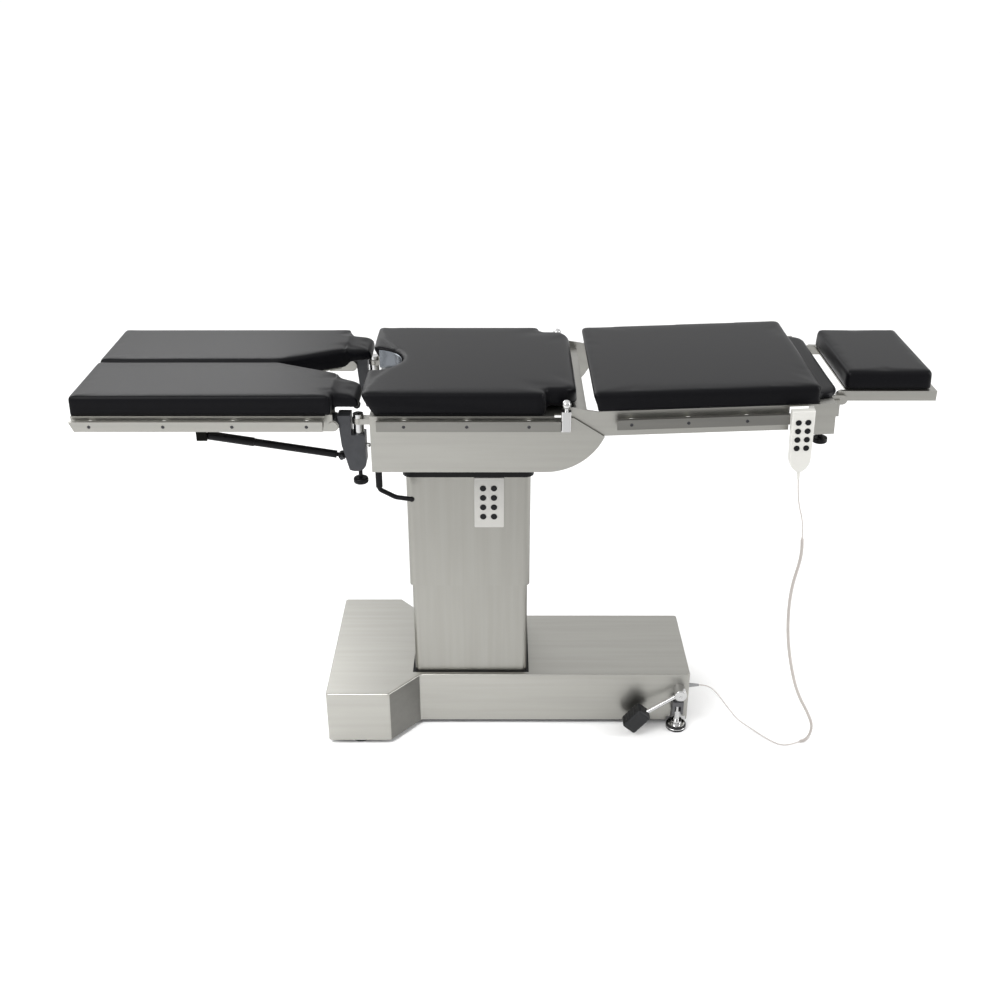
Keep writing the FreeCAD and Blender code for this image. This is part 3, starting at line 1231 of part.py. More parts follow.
def make_cord():
    for label, route, radius in (("cord_upper", CORD_UPPER, "cord_radius"),
                                 ("cord_curl", CORD_CURL, "curl_radius"),
                                 ("cord_lower", CORD_LOWER, "cord_radius")):
        points = [FreeCAD.Vector(*p) for p in route]
        item = doc.addObject("Part::Feature", label + "_tube")
        item.Shape = pipe(points, number(radius), corner_radii(points))
        keep(item, label)
    barrel = cylinder("gland_body", ("base_right - base_wall - 4", "gland_y", "gland_z"), "6",
                      "base_wall + 4", "X")
    flange = cylinder("gland_flange", ("base_right", "gland_y", "gland_z"), "9", "5", "X")
    nose = doc.addObject("Part::Cone", "gland_nose")
    bind(nose, "Radius1", "6")
    bind(nose, "Radius2", "3.2")
    bind(nose, "Height", "gland_end - base_right - 5")
    nose.Placement.Rotation = FreeCAD.Rotation(FreeCAD.Vector(0, 1, 0), 90)
    place(nose, "base_right + 5", "gland_y", "gland_z")
    keep(fuse("gland", barrel, flange, nose), "cord_gland")


make_base_cover()
make_chassis()
make_column_seal()
make_column()
make_column_head()
make_tilt_cross()
make_control_panel()
make_seat_frame()
make_seat_pad()
make_hinge_pins()
make_clamp_lever()
make_back_frame()
make_back_pad()
make_head()
for side_name, side_sign in SIDES.items():
    make_leg(side_name, side_sign)
make_feet()
make_wheels()
make_pedal()
make_handset()
make_cord()
doc.recompute()

for item in doc.Objects:
    if "Invalid" in item.State or "Error" in item.State:
        raise RuntimeError("%s is %s" % (item.Name, item.State))
os.makedirs("parts", exist_ok=True)
for item in nodes:
    if item.Shape.isNull() or not item.Shape.isValid() or not item.Shape.Solids:
        raise RuntimeError("%s has no valid solid" % item.Label)
    item.Shape.exportStep("parts/%s.step" % item.Label)
print(len(nodes), "sub-parts written")
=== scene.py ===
import math

import bpy
from mathutils import Matrix, Vector


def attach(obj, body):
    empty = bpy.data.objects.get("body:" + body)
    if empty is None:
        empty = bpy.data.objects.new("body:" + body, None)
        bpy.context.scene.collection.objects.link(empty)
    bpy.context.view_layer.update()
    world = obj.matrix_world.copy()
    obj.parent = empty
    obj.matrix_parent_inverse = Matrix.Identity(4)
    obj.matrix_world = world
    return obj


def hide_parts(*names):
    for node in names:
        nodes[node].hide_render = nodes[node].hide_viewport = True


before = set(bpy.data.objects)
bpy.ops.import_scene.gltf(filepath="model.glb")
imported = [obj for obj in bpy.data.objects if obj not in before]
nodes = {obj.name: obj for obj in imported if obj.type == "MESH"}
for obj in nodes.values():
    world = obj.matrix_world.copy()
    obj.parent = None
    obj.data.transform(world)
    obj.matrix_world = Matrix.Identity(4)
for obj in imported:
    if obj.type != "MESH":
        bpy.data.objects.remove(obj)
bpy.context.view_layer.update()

scene = bpy.context.scene
MM = 0.001
SIDES = (("near", -1), ("far", 1))


# Objects

def add_object(name, data):
    made = bpy.data.objects.new(name, data)
    scene.collection.objects.link(made)
    return made


def add_mesh(name, points, faces):
    mesh = bpy.data.meshes.new(name)
    mesh.from_pydata(points, [], faces)
    return add_object(name, mesh)


# Shader nodes

def srgb(*shades):
    """Linear values of a colour that is given as shades from 0 to 255."""
    return [(shade / 255) ** 2.2 for shade in shades]


def link(tree, source, output, target, socket):
    tree.links.new(source.outputs[output], target.inputs[socket])


def axes(tree, space):
    """A node whose outputs are the X, Y and Z of the coordinates in a space."""
    place = tree.nodes.new("ShaderNodeTexCoord")
    parts = tree.nodes.new("ShaderNodeSeparateXYZ")
    link(tree, place, space, parts, "Vector")
    return parts


def noise(tree, mapping, scale, detail):
    made = tree.nodes.new("ShaderNodeTexNoise")
    made.inputs["Scale"].default_value = scale
    made.inputs["Detail"].default_value = detail
    link(tree, mapping, "Vector", made, "Vector")
    return made


def ramp(tree, source, start, end, low=0, high=1):
    """An output that goes from low to high while its source goes from start to end."""
    made = tree.nodes.new("ShaderNodeMapRange")
    made.inputs["From Min"].default_value = start
    made.inputs["From Max"].default_value = end
    made.inputs["To Min"].default_value = low
    made.inputs["To Max"].default_value = high
    tree.links.new(source, made.inputs["Value"])
    return made.outputs["Result"]


def calculate(tree, operation, *sources):
    """The output of a calculation with other outputs and plain numbers."""
    made = tree.nodes.new("ShaderNodeMath")
    made.operation = operation
    for number, source in enumerate(sources):
        if isinstance(source, (int, float)):
            made.inputs[number].default_value = source
        else:
            tree.links.new(source, made.inputs[number])
    return made.outputs[0]


# Surfaces

GRAIN_DETAIL = 4
# The patches of colour, which are this many times as wide as the grain
PATCH_SIZE = 12
PATCH_DETAIL = 2
PATCH_START = 0.35
PATCH_END = 0.65
RELIEF_DEPTH = 0.4 * MM


def material(name, colour, metallic, roughness, spread=0.05, stretch=(1, 1, 1), scale=300, bump=0.0,
             patch=0.0, **sockets):
    """A surface whose roughness varies with a fine noise, whose colour varies with a soft one, and which
    has a relief of its own. stretch draws the noise out along an axis, as brushing does."""
    made = bpy.data.materials.new(name)
    made.use_nodes = True
    tree = made.node_tree
    shader = tree.nodes["Principled BSDF"]
    shader.inputs["Metallic"].default_value = metallic
    shader.inputs["Roughness"].default_value = roughness
    for socket, value in sockets.items():
        shader.inputs[socket.replace("_", " ")].default_value = value
    place = tree.nodes.new("ShaderNodeTexCoord")
    mapping = tree.nodes.new("ShaderNodeMapping")
    mapping.inputs["Scale"].default_value = stretch
    link(tree, place, "Object", mapping, "Vector")
    grain = noise(tree, mapping, scale, GRAIN_DETAIL)
    varied = ramp(tree, grain.outputs["Fac"], 0, 1, roughness - spread, roughness + spread)
    tree.links.new(varied, shader.inputs["Roughness"])
    shades = tree.nodes.new("ShaderNodeValToRGB")
    first, last = shades.color_ramp.elements
    first.position = PATCH_START
    last.position = PATCH_END
    first.color = (*[part * (1 - patch) for part in colour], 1)
    last.color = (*[part * (1 + patch) for part in colour], 1)
    soft = noise(tree, mapping, scale / PATCH_SIZE, PATCH_DETAIL)
    link(tree, soft, "Fac", shades, "Fac")
    link(tree, shades, "Color", shader, "Base Color")
    if bump:
        relief = tree.nodes.new("ShaderNodeBump")
        relief.inputs["Strength"].default_value = bump
        relief.inputs["Distance"].default_value = RELIEF_DEPTH
        link(tree, grain, "Fac", relief, "Height")
        link(tree, relief, "Normal", shader, "Normal")
    return made


# Sockets of the mix node for colours, which share their names with its sockets for other values
MIX_FIRST = 6
MIX_SECOND = 7
MIX_RESULT = 2


def take_down(made, mask, share):
    """Take the colour of a surface down to a share of it where the mask is 1."""
    tree = made.node_tree
    colour = tree.nodes["Principled BSDF"].inputs["Base Color"]
    plain = colour.links[0].from_socket
    mix = tree.nodes.new("ShaderNodeMix")
    mix.data_type = "RGBA"
    mix.blend_type = "MULTIPLY"
    mix.inputs[MIX_SECOND].default_value = (share, share, share, 1)
    tree.links.new(mask, mix.inputs["Factor"])
    tree.links.new(plain, mix.inputs[MIX_FIRST])
    tree.links.new(mix.outputs[MIX_RESULT], colour)


def darken(made, share, limits):
    """Take the colour of a surface down in the part of the object that all the limits leave."""
    tree = made.node_tree
    parts = axes(tree, "Object")
    inside = 1
    for axis, sign, distance in limits:
        size = calculate(tree, "ABSOLUTE", parts.outputs[axis])
        test = calculate(tree, "GREATER_THAN" if sign > 0 else "LESS_THAN", size, distance)
        inside = calculate(tree, "MULTIPLY", inside, test)
    take_down(made, inside, share)
    return made


# Parts of the object whose colour is taken down: the rails of the seat and back sections are darker, the
# lugs of the springs are painted black, and on the slanted plates of the base the darkening is painted
# shade. Each limit is an
# axis, a sign and a distance: 1 keeps to what lies beyond the distance from the middle, and -1 to what lies
# within it.
SEAT_RAILS = (("Y", 1, 0.257), ("Z", -1, 0.976))
BACK_RAILS = (("Y", 1, 0.257),)
SPRING_LUGS = (("X", 1, 0.7), ("Z", -1, 0.951), ("Y", -1, 0.25))
# Painted shade on the slanted plates of the base
SLANTED_PLATES_PAINTED_SHADE = (("X", -1, 0.33), ("Y", 1, 0.156), ("Y", -1, 0.2425), ("Z", -1, 0.1655))
STEEL = srgb(157, 156, 151)
COLUMN_STEEL = srgb(142, 141, 136)


def steel(name, colour=STEEL, stretch=(0.04, 1, 1), roughness=0.36):
    """Brushed stainless steel, with the brushing along the axis that the stretch makes short."""
    return material(name, colour, 1, roughness, 0.05, stretch=stretch, scale=700, bump=0.04, patch=0.03)


SURFACES = {
    "upholstery": material("upholstery", srgb(15, 15, 18), 0, 0.36, 0.06, scale=900, bump=0.2, patch=0.06,
                           Specular_IOR_Level=0.1, Sheen_Weight=0.05, Sheen_Roughness=0.4),
    "steel": steel("steel"),
    "steel_seat": darken(steel("steel_seat"), 0.62, SEAT_RAILS),
    "steel_back": darken(steel("steel_back"), 0.52, BACK_RAILS),
    "steel_legs": darken(steel("steel_legs"), 0.02, SPRING_LUGS),
    "steel_upright": steel("steel_upright", COLUMN_STEEL, (1, 1, 0.04), 0.34),
    # The slanted plates of the base get painted shade, which stands in for the darker floor that they face
    "steel_base_painted_shade": darken(steel("steel_base_painted_shade"), 0.42, SLANTED_PLATES_PAINTED_SHADE),
    "chassis": material("chassis", srgb(74, 74, 76), 0, 0.45, scale=400, bump=0.1, patch=0.05),
    "casting": material("casting", srgb(52, 53, 56), 0.3, 0.42, scale=700, bump=0.35, patch=0.08),
    "chrome": material("chrome", srgb(190, 190, 190), 1, 0.1, 0.03, scale=200),
    "black_plastic": material("black_plastic", srgb(18, 18, 20), 0, 0.4, scale=800, bump=0.12, patch=0.05,
                              Specular_IOR_Level=0.15),
    "white_plastic": material("white_plastic", srgb(203, 202, 197), 0, 0.35, scale=500, bump=0.05,
                              patch=0.01),
    # The control panel is the same white plastic as the handset; its darker colour is painted shade against
    # the stronger light on it
    "panel": material("panel", srgb(173, 172, 168), 0, 0.35, scale=500, bump=0.05, patch=0.01),
    "keys": material("keys", srgb(14, 15, 19), 0, 0.3, scale=500, bump=0.05, patch=0.05,
                     Specular_IOR_Level=0.2),
    "rubber": material("rubber", srgb(24, 25, 27), 0, 0.4, scale=900, bump=0.2, patch=0.05,
                       Specular_IOR_Level=0.35),
    "tyre": material("tyre", srgb(50, 50, 52), 0, 0.55, scale=600, bump=0.15, patch=0.05),
    "cord": material("cord", srgb(184, 178, 174), 0, 0.45, scale=600, bump=0.05, patch=0.02),
    "gland": material("gland", srgb(150, 151, 152), 0, 0.45, scale=600, bump=0.1, patch=0.03),
    "tray": material("tray", srgb(112, 116, 121), 1, 0.22, scale=300, patch=0.03),
    "screw": material("screw", srgb(66, 66, 68), 1, 0.3, scale=400, patch=0.05),
    "floor": material("floor", srgb(246, 246, 246), 0, 0.6, scale=3, patch=0.004),
}
NODE_SURFACES = {
    "upholstery": ("seat_cushion", "back_cushion", "head_cushion", "leg_cushion_near", "leg_cushion_far"),
    "steel": ("head_frame",),
    "steel_base_painted_shade": ("base_cover",),
    "steel_seat": ("seat_frame",),
    "steel_back": ("back_frame",),
    "steel_legs": ("leg_frame_near", "leg_frame_far"),
    "steel_upright": ("column_inner_stage", "column_mid_sleeve", "column_outer_sleeve"),
    "chassis": ("base_chassis", "caster_fork_near", "caster_fork_far"),
    "casting": ("tilt_cross", "leg_hinge_near", "leg_hinge_far"),
    "chrome": ("hinge_pins", "lock_foot_stems", "brake_pedal", "gas_spring_rod_near", "gas_spring_rod_far"),
    "black_plastic": ("clamp_lever", "head_lock_knob", "leg_knob_near", "leg_knob_far", "column_seal",
                      "column_head", "gas_spring_tube_near", "gas_spring_tube_far"),
    "white_plastic": ("handset",),
    "panel": ("control_panel",),
    "keys": ["%s_button_%d" % (owner, key) for owner in ("panel", "handset") for key in range(1, 9)],
    "rubber": ("lock_foot_pads", "pedal_pad"),
    "tyre": ("fixed_wheels", "caster_wheel_near", "caster_wheel_far"),
    "gland": ("cord_gland",),
    "cord": ("cord_upper", "cord_curl", "cord_lower"),
}


def finish_piece(piece, body, slot, surface=None, smooth=True):
    """Give a piece its surface, which is the slot's unless a surface is named, and the body that it moves
    with.
    """
    piece.data.materials.clear()
    piece.data.materials.append(SURFACES[surface or slot])
    if smooth:
        piece.data.shade_smooth()
    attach(piece, body)


def paint_nodes():
    for surface, names in NODE_SURFACES.items():
        for name in names:
            nodes[name].data.materials.clear()
            nodes[name].data.materials.append(SURFACES[surface])


# Camera

def make_camera():
    """The camera that was fitted to the photograph."""
    data = bpy.data.cameras.new("camera")
    data.lens = 42.56
    data.sensor_width = 36
    data.clip_end = 200
    camera = add_object("camera", data)
    camera.location = (-0.012, -2.8552, 2.0791)
    camera.rotation_euler = (math.radians(63.13), 0, 0)
    scene.camera = camera


# Cord

CORD_UPPER = [(0.7074, -0.282, 0.8541), (0.7108, -0.283, 0.812), (0.718, -0.2825, 0.764),
              (0.734, -0.281, 0.716), (0.738, -0.28, 0.672)]
CORD_CURL = [(0.738, -0.28, 0.672), (0.7433, -0.2787, 0.614), (0.729, -0.272, 0.52), (0.733, -0.264, 0.42),
             (0.747, -0.252, 0.33), (0.772, -0.238, 0.23), (0.8, -0.222, 0.15), (0.836, -0.204, 0.082),
             (0.858, -0.204, 0.032), (0.843, -0.2274, 0.0046), (0.8138, -0.2406, 0.0046)]
CORD_LOWER = [(0.8138, -0.2406, 0.0046), (0.789, -0.2518, 0.0046), (0.76, -0.252, 0.0022),
              (0.726, -0.22, 0.0022), (0.696, -0.18, 0.0022), (0.662, -0.148, 0.008),
              (0.636, -0.126, 0.034), (0.606, -0.107, 0.07), (0.578, -0.1, 0.095), (0.552, -0.1, 0.095)]
WIRE_RADIUS = 1.7 * MM
CURL_RADIUS = 2.8 * MM
CURL_PITCH = 4.2 * MM
TURN_POINTS = 14
ROUTE_STEPS = 24


def route_points(places):
    """The points of a smooth line that has these control points, from the first to the last."""
    curve = bpy.data.curves.new("cord_route", "CURVE")
    curve.dimensions = "3D"
    curve.resolution_u = ROUTE_STEPS
    spline = curve.splines.new("NURBS")
    spline.points.add(len(places) - 1)
    for point, place in zip(spline.points, places):
        point.co = (*place, 1)
    spline.order_u = 3
    spline.use_endpoint_u = True
    route = bpy.data.objects.new("cord_route", curve)
    mesh = bpy.data.meshes.new_from_object(route)
    points = [vertex.co.copy() for vertex in mesh.vertices]
    bpy.data.meshes.remove(mesh)
    bpy.data.objects.remove(route)
    return points


def stations(points):
    """The distance along the line of each of its points."""
    along = [0.0]
    for first, second in zip(points, points[1:]):
        along.append(along[-1] + (second - first).length)
    return along


def spread_out(points, step):
    """Points of a line at equal steps."""
    along = stations(points)
    count = max(2, round(along[-1] / step))
    found = []
    index = 0
    for number in range(count + 1):
        wanted = along[-1] * number / count
        while index < len(along) - 2 and along[index + 1] < wanted:
            index += 1
        share = (wanted - along[index]) / (along[index + 1] - along[index])
        found.append(points[index].lerp(points[index + 1], share))
    return found


def tube(name, points, radius, sides=2):
    """A round tube that follows points, as a mesh."""
    curve = bpy.data.curves.new(name, "CURVE")
    curve.dimensions = "3D"
    curve.bevel_depth = radius
    curve.bevel_resolution = sides
    curve.use_fill_caps = True
    spline = curve.splines.new("POLY")
    spline.points.add(len(points) - 1)
    for point, place in zip(spline.points, points):
        point.co = (*place, 1)
    line = bpy.data.objects.new(name + "_line", curve)
    mesh = bpy.data.meshes.new_from_object(line)
    bpy.data.objects.remove(line)
    bpy.data.curves.remove(curve)
    return add_object(name, mesh)


def curled(points, radius, pitch):
    """The helix round a line, which grows out of the line at both ends."""
    step = pitch / TURN_POINTS
    line = spread_out(points, step)
    growing = 2 * TURN_POINTS
    across = (line[1] - line[0]).orthogonal().normalized()
    found = []
    for index, place in enumerate(line):
        ahead = line[min(index + 1, len(line) - 1)] - line[max(index - 1, 0)]
        ahead.normalize()
        across = (across - ahead * across.dot(ahead)).normalized()
        beside = ahead.cross(across)
        angle = 2 * math.pi * index * step / pitch
        grown = radius * min(1, index / growing, (len(line) - 1 - index) / growing)
        found.append(place + grown * (math.cos(angle) * across + math.sin(angle) * beside))
    return found


def nearest(points, place):
    """The number of the point that lies nearest to a place."""
    return min(range(len(points)), key=lambda number: (points[number] - Vector(place)).length)


def make_cord():
    """The cord of the handset: out of the base, over the floor, curled, and up to the handset."""
    line = route_points((CORD_UPPER + CORD_CURL[1:] + CORD_LOWER[1:])[::-1])
    starts = nearest(line, CORD_LOWER[0])
    ends = nearest(line, CORD_CURL[0])
    path = line[:starts] + curled(line[starts:ends + 1], CURL_RADIUS, CURL_PITCH) + line[ends + 1:]
    cord = tube("handset_cord", path, WIRE_RADIUS)
    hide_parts("cord_upper", "cord_curl", "cord_lower")
    finish_piece(cord, "base", "white_plastic", "cord")


# Cushions

CUSHIONS = {"seat_cushion": "seat", "back_cushion": "back", "head_cushion": "head",
            "leg_cushion_near": "leg_near", "leg_cushion_far": "leg_far"}
VOXEL = 6 * MM
UNDERSIDE = -0.5
SOFT_ROUNDS = 2
IRON_ROUNDS = 3
SKIN_SHRINK = 1.0 * MM
SWELL_LIMIT = 1.2 * MM
SWELL_FRAMES = 20
PAD_EDGE = 11 * MM
# Share of a tongue's rounding that is taken off its height
END_DROP = 0.7
# Each tongue starts and ends along X, lies from inner to outer on each side of the middle, and reaches from
# low to high. top is the top of its cushion, and the rises are how far the step to it is filled up.
SEAT_TONGUE = {"start": 0.097, "end": 0.177, "inner": 0, "outer": 0.213, "low": 0.993, "high": 1.031,
               "top": 1.041, "first_rise": 0.0095, "last_rise": 0.0095, "radius": 0.024}
LEG_TONGUE = {"start": -0.415, "end": -0.352, "inner": 0.118, "outer": 0.215, "low": 0.991, "high": 1.018,
              "top": 1.0335, "first_rise": 0.0095, "last_rise": 0.002, "radius": 0.018}
TONGUES = {"seat_cushion": SEAT_TONGUE, "leg_cushion_near": LEG_TONGUE, "leg_cushion_far": LEG_TONGUE}


def settle(made):
    """Keep the shape that the modifiers give, and take them off."""
    shape = made.evaluated_get(bpy.context.evaluated_depsgraph_get())
    mesh = bpy.data.meshes.new_from_object(shape)
    made.modifiers.clear()
    made.data = mesh


def shape_tongue(made, start, end, inner, outer, low, high, top, first_rise, last_rise, radius):
    """Fill up the step between a cushion and its tongue, and round the tongue's end."""
    for vertex in made.data.vertices:
        along = (vertex.co.x - start) / (end - start)
        if along < 0:
            beside = inner <= abs(vertex.co.y) <= outer
            if beside and vertex.co.x > start - PAD_EDGE and vertex.co.z > top - PAD_EDGE:
                vertex.co.z = top
            continue
        share = min(1, max(0, (vertex.co.z - low) / (high - low)))
        rise = first_rise + (last_rise - first_rise) * min(1, along)
        past = min(radius, max(0, vertex.co.x - end + radius))
        drop = radius - math.sqrt(radius * radius - past * past)
        vertex.co.z = min(top, vertex.co.z + rise * share) - END_DROP * drop * share


def add_smoothing(made, name, rounds):
    """Smooth all of a cushion but its underside."""
    smoothing = made.modifiers.new(name, "SMOOTH")
    smoothing.iterations = rounds
    smoothing.factor = 0.5
    smoothing.vertex_group = "free"


def swell(made):
    """Press the cover out from inside for a moment, by no more than the limit."""
    before = [vertex.co.copy() for vertex in made.data.vertices]
    cloth = made.modifiers.new("cover", "CLOTH")
    settings = cloth.settings
    settings.quality = 5
    settings.mass = 0.3
    settings.tension_stiffness = 30
    settings.compression_stiffness = 30
    settings.bending_stiffness = 5
    settings.use_pressure = True
    settings.uniform_pressure_force = 4
    settings.vertex_group_mass = "held"
    settings.effector_weights.gravity = 0
    cloth.point_cache.frame_start = 1
    cloth.point_cache.frame_end = SWELL_FRAMES
    for moment in range(1, SWELL_FRAMES + 1):
        scene.frame_set(moment)
    settle(made)
    scene.frame_set(1)
    for vertex, start in zip(made.data.vertices, before):
        move = vertex.co - start
        if move.length > SWELL_LIMIT:
            vertex.co = start + move * (SWELL_LIMIT / move.length)


def make_cushion(node, body):
    """A foam pad with rounded edges whose cover is drawn tight by the foam inside."""
    made = add_object(node + "_cover", nodes[node].data.copy())
    remesh = made.modifiers.new("even", "REMESH")
    remesh.mode = "VOXEL"
    remesh.voxel_size = VOXEL
    settle(made)
    if node in TONGUES:
        shape_tongue(made, **TONGUES[node])
    held = made.vertex_groups.new(name="held")
    free = made.vertex_groups.new(name="free")
    for vertex in made.data.vertices:
        group = held if vertex.normal.z < UNDERSIDE else free
        group.add([vertex.index], 1, "REPLACE")
    add_smoothing(made, "soft", SOFT_ROUNDS)
    shrink = made.modifiers.new("shrink", "DISPLACE")
    shrink.strength = -SKIN_SHRINK
    shrink.mid_level = 0
    shrink.vertex_group = "free"
    settle(made)
    swell(made)
    add_smoothing(made, "ironed", IRON_ROUNDS)
    rounded = made.modifiers.new("rounded", "SUBSURF")
    rounded.levels = 1
    rounded.render_levels = 1
    settle(made)
    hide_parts(node)
    finish_piece(made, body, "upholstery")


# Small turned and sheet pieces. Their profiles are pairs of a radius and a height in mm.

UPRIGHT = Matrix.Identity(4)
ALONG_X = Matrix.Rotation(math.radians(90), 4, "Y")
ALONG_Y = Matrix.Rotation(math.radians(90), 4, "X")
SHARP = math.radians(35)


def outward(side):
    """The turn that points a profile away from the middle on one side."""
    return ALONG_Y if side < 0 else ALONG_Y.inverted()


def turned(name, profile, places, turn, segments):
    """Round pieces turned from one profile, one on each place."""
    points = []
    faces = []
    for place in places:
        spot = Matrix.Translation(place) @ turn
        first = len(points)
        for radius, height in profile:
            for part in range(segments):
                angle = 2 * math.pi * part / segments
                points.append(spot @ Vector((radius * math.cos(angle) * MM, radius * math.sin(angle) * MM,
                                             height * MM)))
        for ring in range(len(profile) - 1):
            for part in range(segments):
                near = first + ring * segments
                after = (part + 1) % segments
                faces.append((near + part, near + after, near + segments + after, near + segments + part))
        faces.append(tuple(first + part for part in reversed(range(segments))))
        last = first + (len(profile) - 1) * segments
        faces.append(tuple(last + part for part in range(segments)))
    return add_mesh(name, points, faces)


def add_trim(name, profile, places, turn, segments, body, slot, surface=None):
    """Turned pieces that ride on a body, with their sharp edges kept."""
    made = turned(name, profile, places, turn, segments)
    finish_piece(made, body, slot, surface)
    made.data.set_sharp_from_angle(angle=SHARP)


# The back section is drawn level and stands raised
RISE = math.radians(2.1)
BACK_PIVOT = Vector((0.150, 0, 0.990))
RAIL_FACE = 0.272
RAIL_MIDDLE = 0.964
SCREW = [(4.2, 0.0), (4.0, 0.5), (3.2, 1.1), (1.7, 1.1), (1.6, 0.3)]
COLLAR = [(9.0, -18.4), (11.0, -17.2), (11.0, -12.0), (9.0, -10.8)]
LEG_SPACERS = (-0.989, -0.813, -0.649, -0.472)
SEAT_SPACERS = (-0.241, -0.091, 0.057)
# The body of each rail, its side and where its spacers are
RAILS = {
    "leg_near": ("leg_near", -1, LEG_SPACERS),
    "leg_far": ("leg_far", 1, LEG_SPACERS),
    "seat_near": ("seat", -1, SEAT_SPACERS),
    "seat_far": ("seat", 1, SEAT_SPACERS),
    "back_near": ("back", -1, (0.300, 0.435, 0.574)),
    "back_far": ("back", 1, (0.300, 0.435, 0.574, 0.655)),
}


def raised(place):
    """Where a point of the back section, drawn level, stands once the section is raised."""
    return BACK_PIVOT + Matrix.Rotation(-RISE, 3, "Y") @ (Vector(place) - BACK_PIVOT)


def make_rail_screws():
    """A dark screw on the face of the rail at each spacer, and a white nylon collar on the spacer."""
    for name, (body, side, places) in RAILS.items():
        spots = [(x, side * RAIL_FACE, RAIL_MIDDLE) for x in places]
        if body == "back":
            spots = [raised(spot) for spot in spots]
        add_trim("rail_screws_" + name, SCREW, spots, outward(side), 20, body, "chrome", "screw")
        add_trim("rail_collars_" + name, COLLAR, spots, outward(side), 24, body, "white_plastic")


SPRING_LOW = Vector((-0.406, 0, 0.843))
SPRING_HIGH = Vector((-0.749, 0, 0.899))
SPRING_Y = 0.166
BOOT = [(5.3, 337.0), (9.6, 337.0), (11.2, 332.0), (11.2, 222.0), (10.8, 220.0), (10.0, 220.0),
        (10.0, 332.0), (5.3, 334.0)]


def make_spring_boots():
    """The black boot on the rod of each gas spring, which the tube slides into."""
    turn = (SPRING_HIGH - SPRING_LOW).to_track_quat("Z", "Y").to_matrix().to_4x4()
    for word, side in SIDES:
        start = SPRING_LOW + Vector((0, side * SPRING_Y, 0))
        add_trim("spring_boot_" + word, BOOT, [start], turn, 32, "spring_rod_" + word, "black_plastic")


STOP = [(4.2, 0.0), (6.0, 0.6), (6.0, 6.4), (5.0, 8.6), (4.2, 9.4)]
STOP_X = -0.3398
STOP_Y = 0.205
STOP_Z = 0.888


def make_swing_stops():
    """The bright sleeve on the stop between each hinge casting and the seat section."""
    for word, side in SIDES:
        spot = (STOP_X, side * STOP_Y, STOP_Z)
        add_trim("swing_stop_" + word, STOP, [spot], ALONG_X, 24, "hinge_" + word, "chrome")


PAD_RING = [(22.0, 13.0), (24.0, 13.4), (24.0, 13.9), (21.5, 14.4), (15.5, 14.6), (14.6, 17.6), (14.0, 17.6)]
PAD_BEAD = [(28.0, 5.0), (28.6, 5.6), (28.6, 7.0), (28.0, 7.6)]
FEET = [(0.484, -0.165, 0), (0.484, 0.165, 0), (-0.398, -0.205, 0), (-0.398, 0.205, 0)]


def make_foot_trim():
    """The bright washer on each rubber foot and the bead round it."""
    for name, profile in (("foot_washers", PAD_RING), ("foot_beads", PAD_BEAD)):
        add_trim(name, profile, FEET, UPRIGHT, 40, "lock_feet", "chrome")


HUB = (0.487, -0.192, 0.121)
HUB_CAP = [(14.0, -0.4), (14.0, 0.6), (12.5, 1.0), (4.5, 1.0), (4.0, 0.2), (2.2, 0.2), (1.8, 1.2)]
PEDAL_SLOPE = math.radians(30)
PEDAL_SPLAY = 0.12
PEDAL_REACH = 0.140
PEDAL_START = Vector((0.487, -0.178, 0.121))
PEDAL_TURN = Matrix.Rotation(math.radians(-50), 4, "Y")
# The ribs of the pedal's rubber block, in mm: the middle of the first, the steps to the next, the ends, and
# the outline of each
RIB_COUNT = 6
RIB_FIRST = -25
RIB_STEP = 10
RIB_ENDS = (-15.5, 15.5)
RIB_OUTLINE = ((-3, 21.8), (-2, 23.2), (2, 23.2), (3, 21.8))


def make_pedal_trim():
    """The bright cap of the pedal's hub, and the ribs on both faces of its rubber block."""
    add_trim("pedal_hub_cap", HUB_CAP, [HUB], ALONG_Y, 36, "pedal", "chrome")
    along = Vector((-math.cos(PEDAL_SLOPE), -PEDAL_SPLAY, -math.sin(PEDAL_SLOPE))).normalized()
    centre = Matrix.Translation(PEDAL_START + along * PEDAL_REACH) @ PEDAL_TURN
    points = []
    faces = []
    for number in range(RIB_COUNT):
        middle = (RIB_FIRST + RIB_STEP * number) * MM
        for face in (1, -1):
            first = len(points)
            for x, z in RIB_OUTLINE:
                for y in RIB_ENDS:
                    points.append(centre @ Vector((middle + x * MM, y * MM, face * z * MM)))
            for step in range(3):
                low = first + 2 * step
                faces.append((low, low + 1, low + 3, low + 2))
            faces.append((first, first + 2, first + 4, first + 6))
            faces.append((first + 1, first + 7, first + 5, first + 3))
            faces.append((first, first + 6, first + 7, first + 1))
    finish_piece(add_mesh("pedal_ribs", points, faces), "pedal", "rubber", smooth=False)


# The sleeve of the cord's gland, in mm: where it starts, and its ribs, which grow thinner outwards
GLAND_PLACE = (0, -0.1, 0.095)
GLAND_START = 524
GLAND_RIBS = 7
GLAND_STEP = 4
GLAND_BORE = 4.0
GLAND_RADIUS = 6.3
GLAND_TAPER = 0.45


def make_gland_ribs():
    """The grooved sleeve that keeps the cord from kinking where it leaves the base."""
    profile = [(GLAND_BORE, GLAND_START)]
    for number in range(GLAND_RIBS):
        start = GLAND_START + GLAND_STEP * number
        radius = GLAND_RADIUS - GLAND_TAPER * number
        profile += [(radius, start), (radius, start + 2.4), (radius - 1.0, start + 2.6),
                    (radius - 1.2, start + 3.8)]
    add_trim("gland_sleeve", profile, [GLAND_PLACE], ALONG_X, 24, "base", "black_plastic", "gland")


RELIEF = [(2.2, -1.0), (4.8, -1.0), (4.8, 3.0), (4.2, 3.4), (4.2, 5.4), (4.4, 5.8), (4.4, 8.0), (3.8, 8.4),
          (3.8, 10.4), (4.0, 10.8), (4.0, 13.0), (3.4, 13.4), (3.2, 20.0), (2.9, 22.0), (2.2, 22.0)]


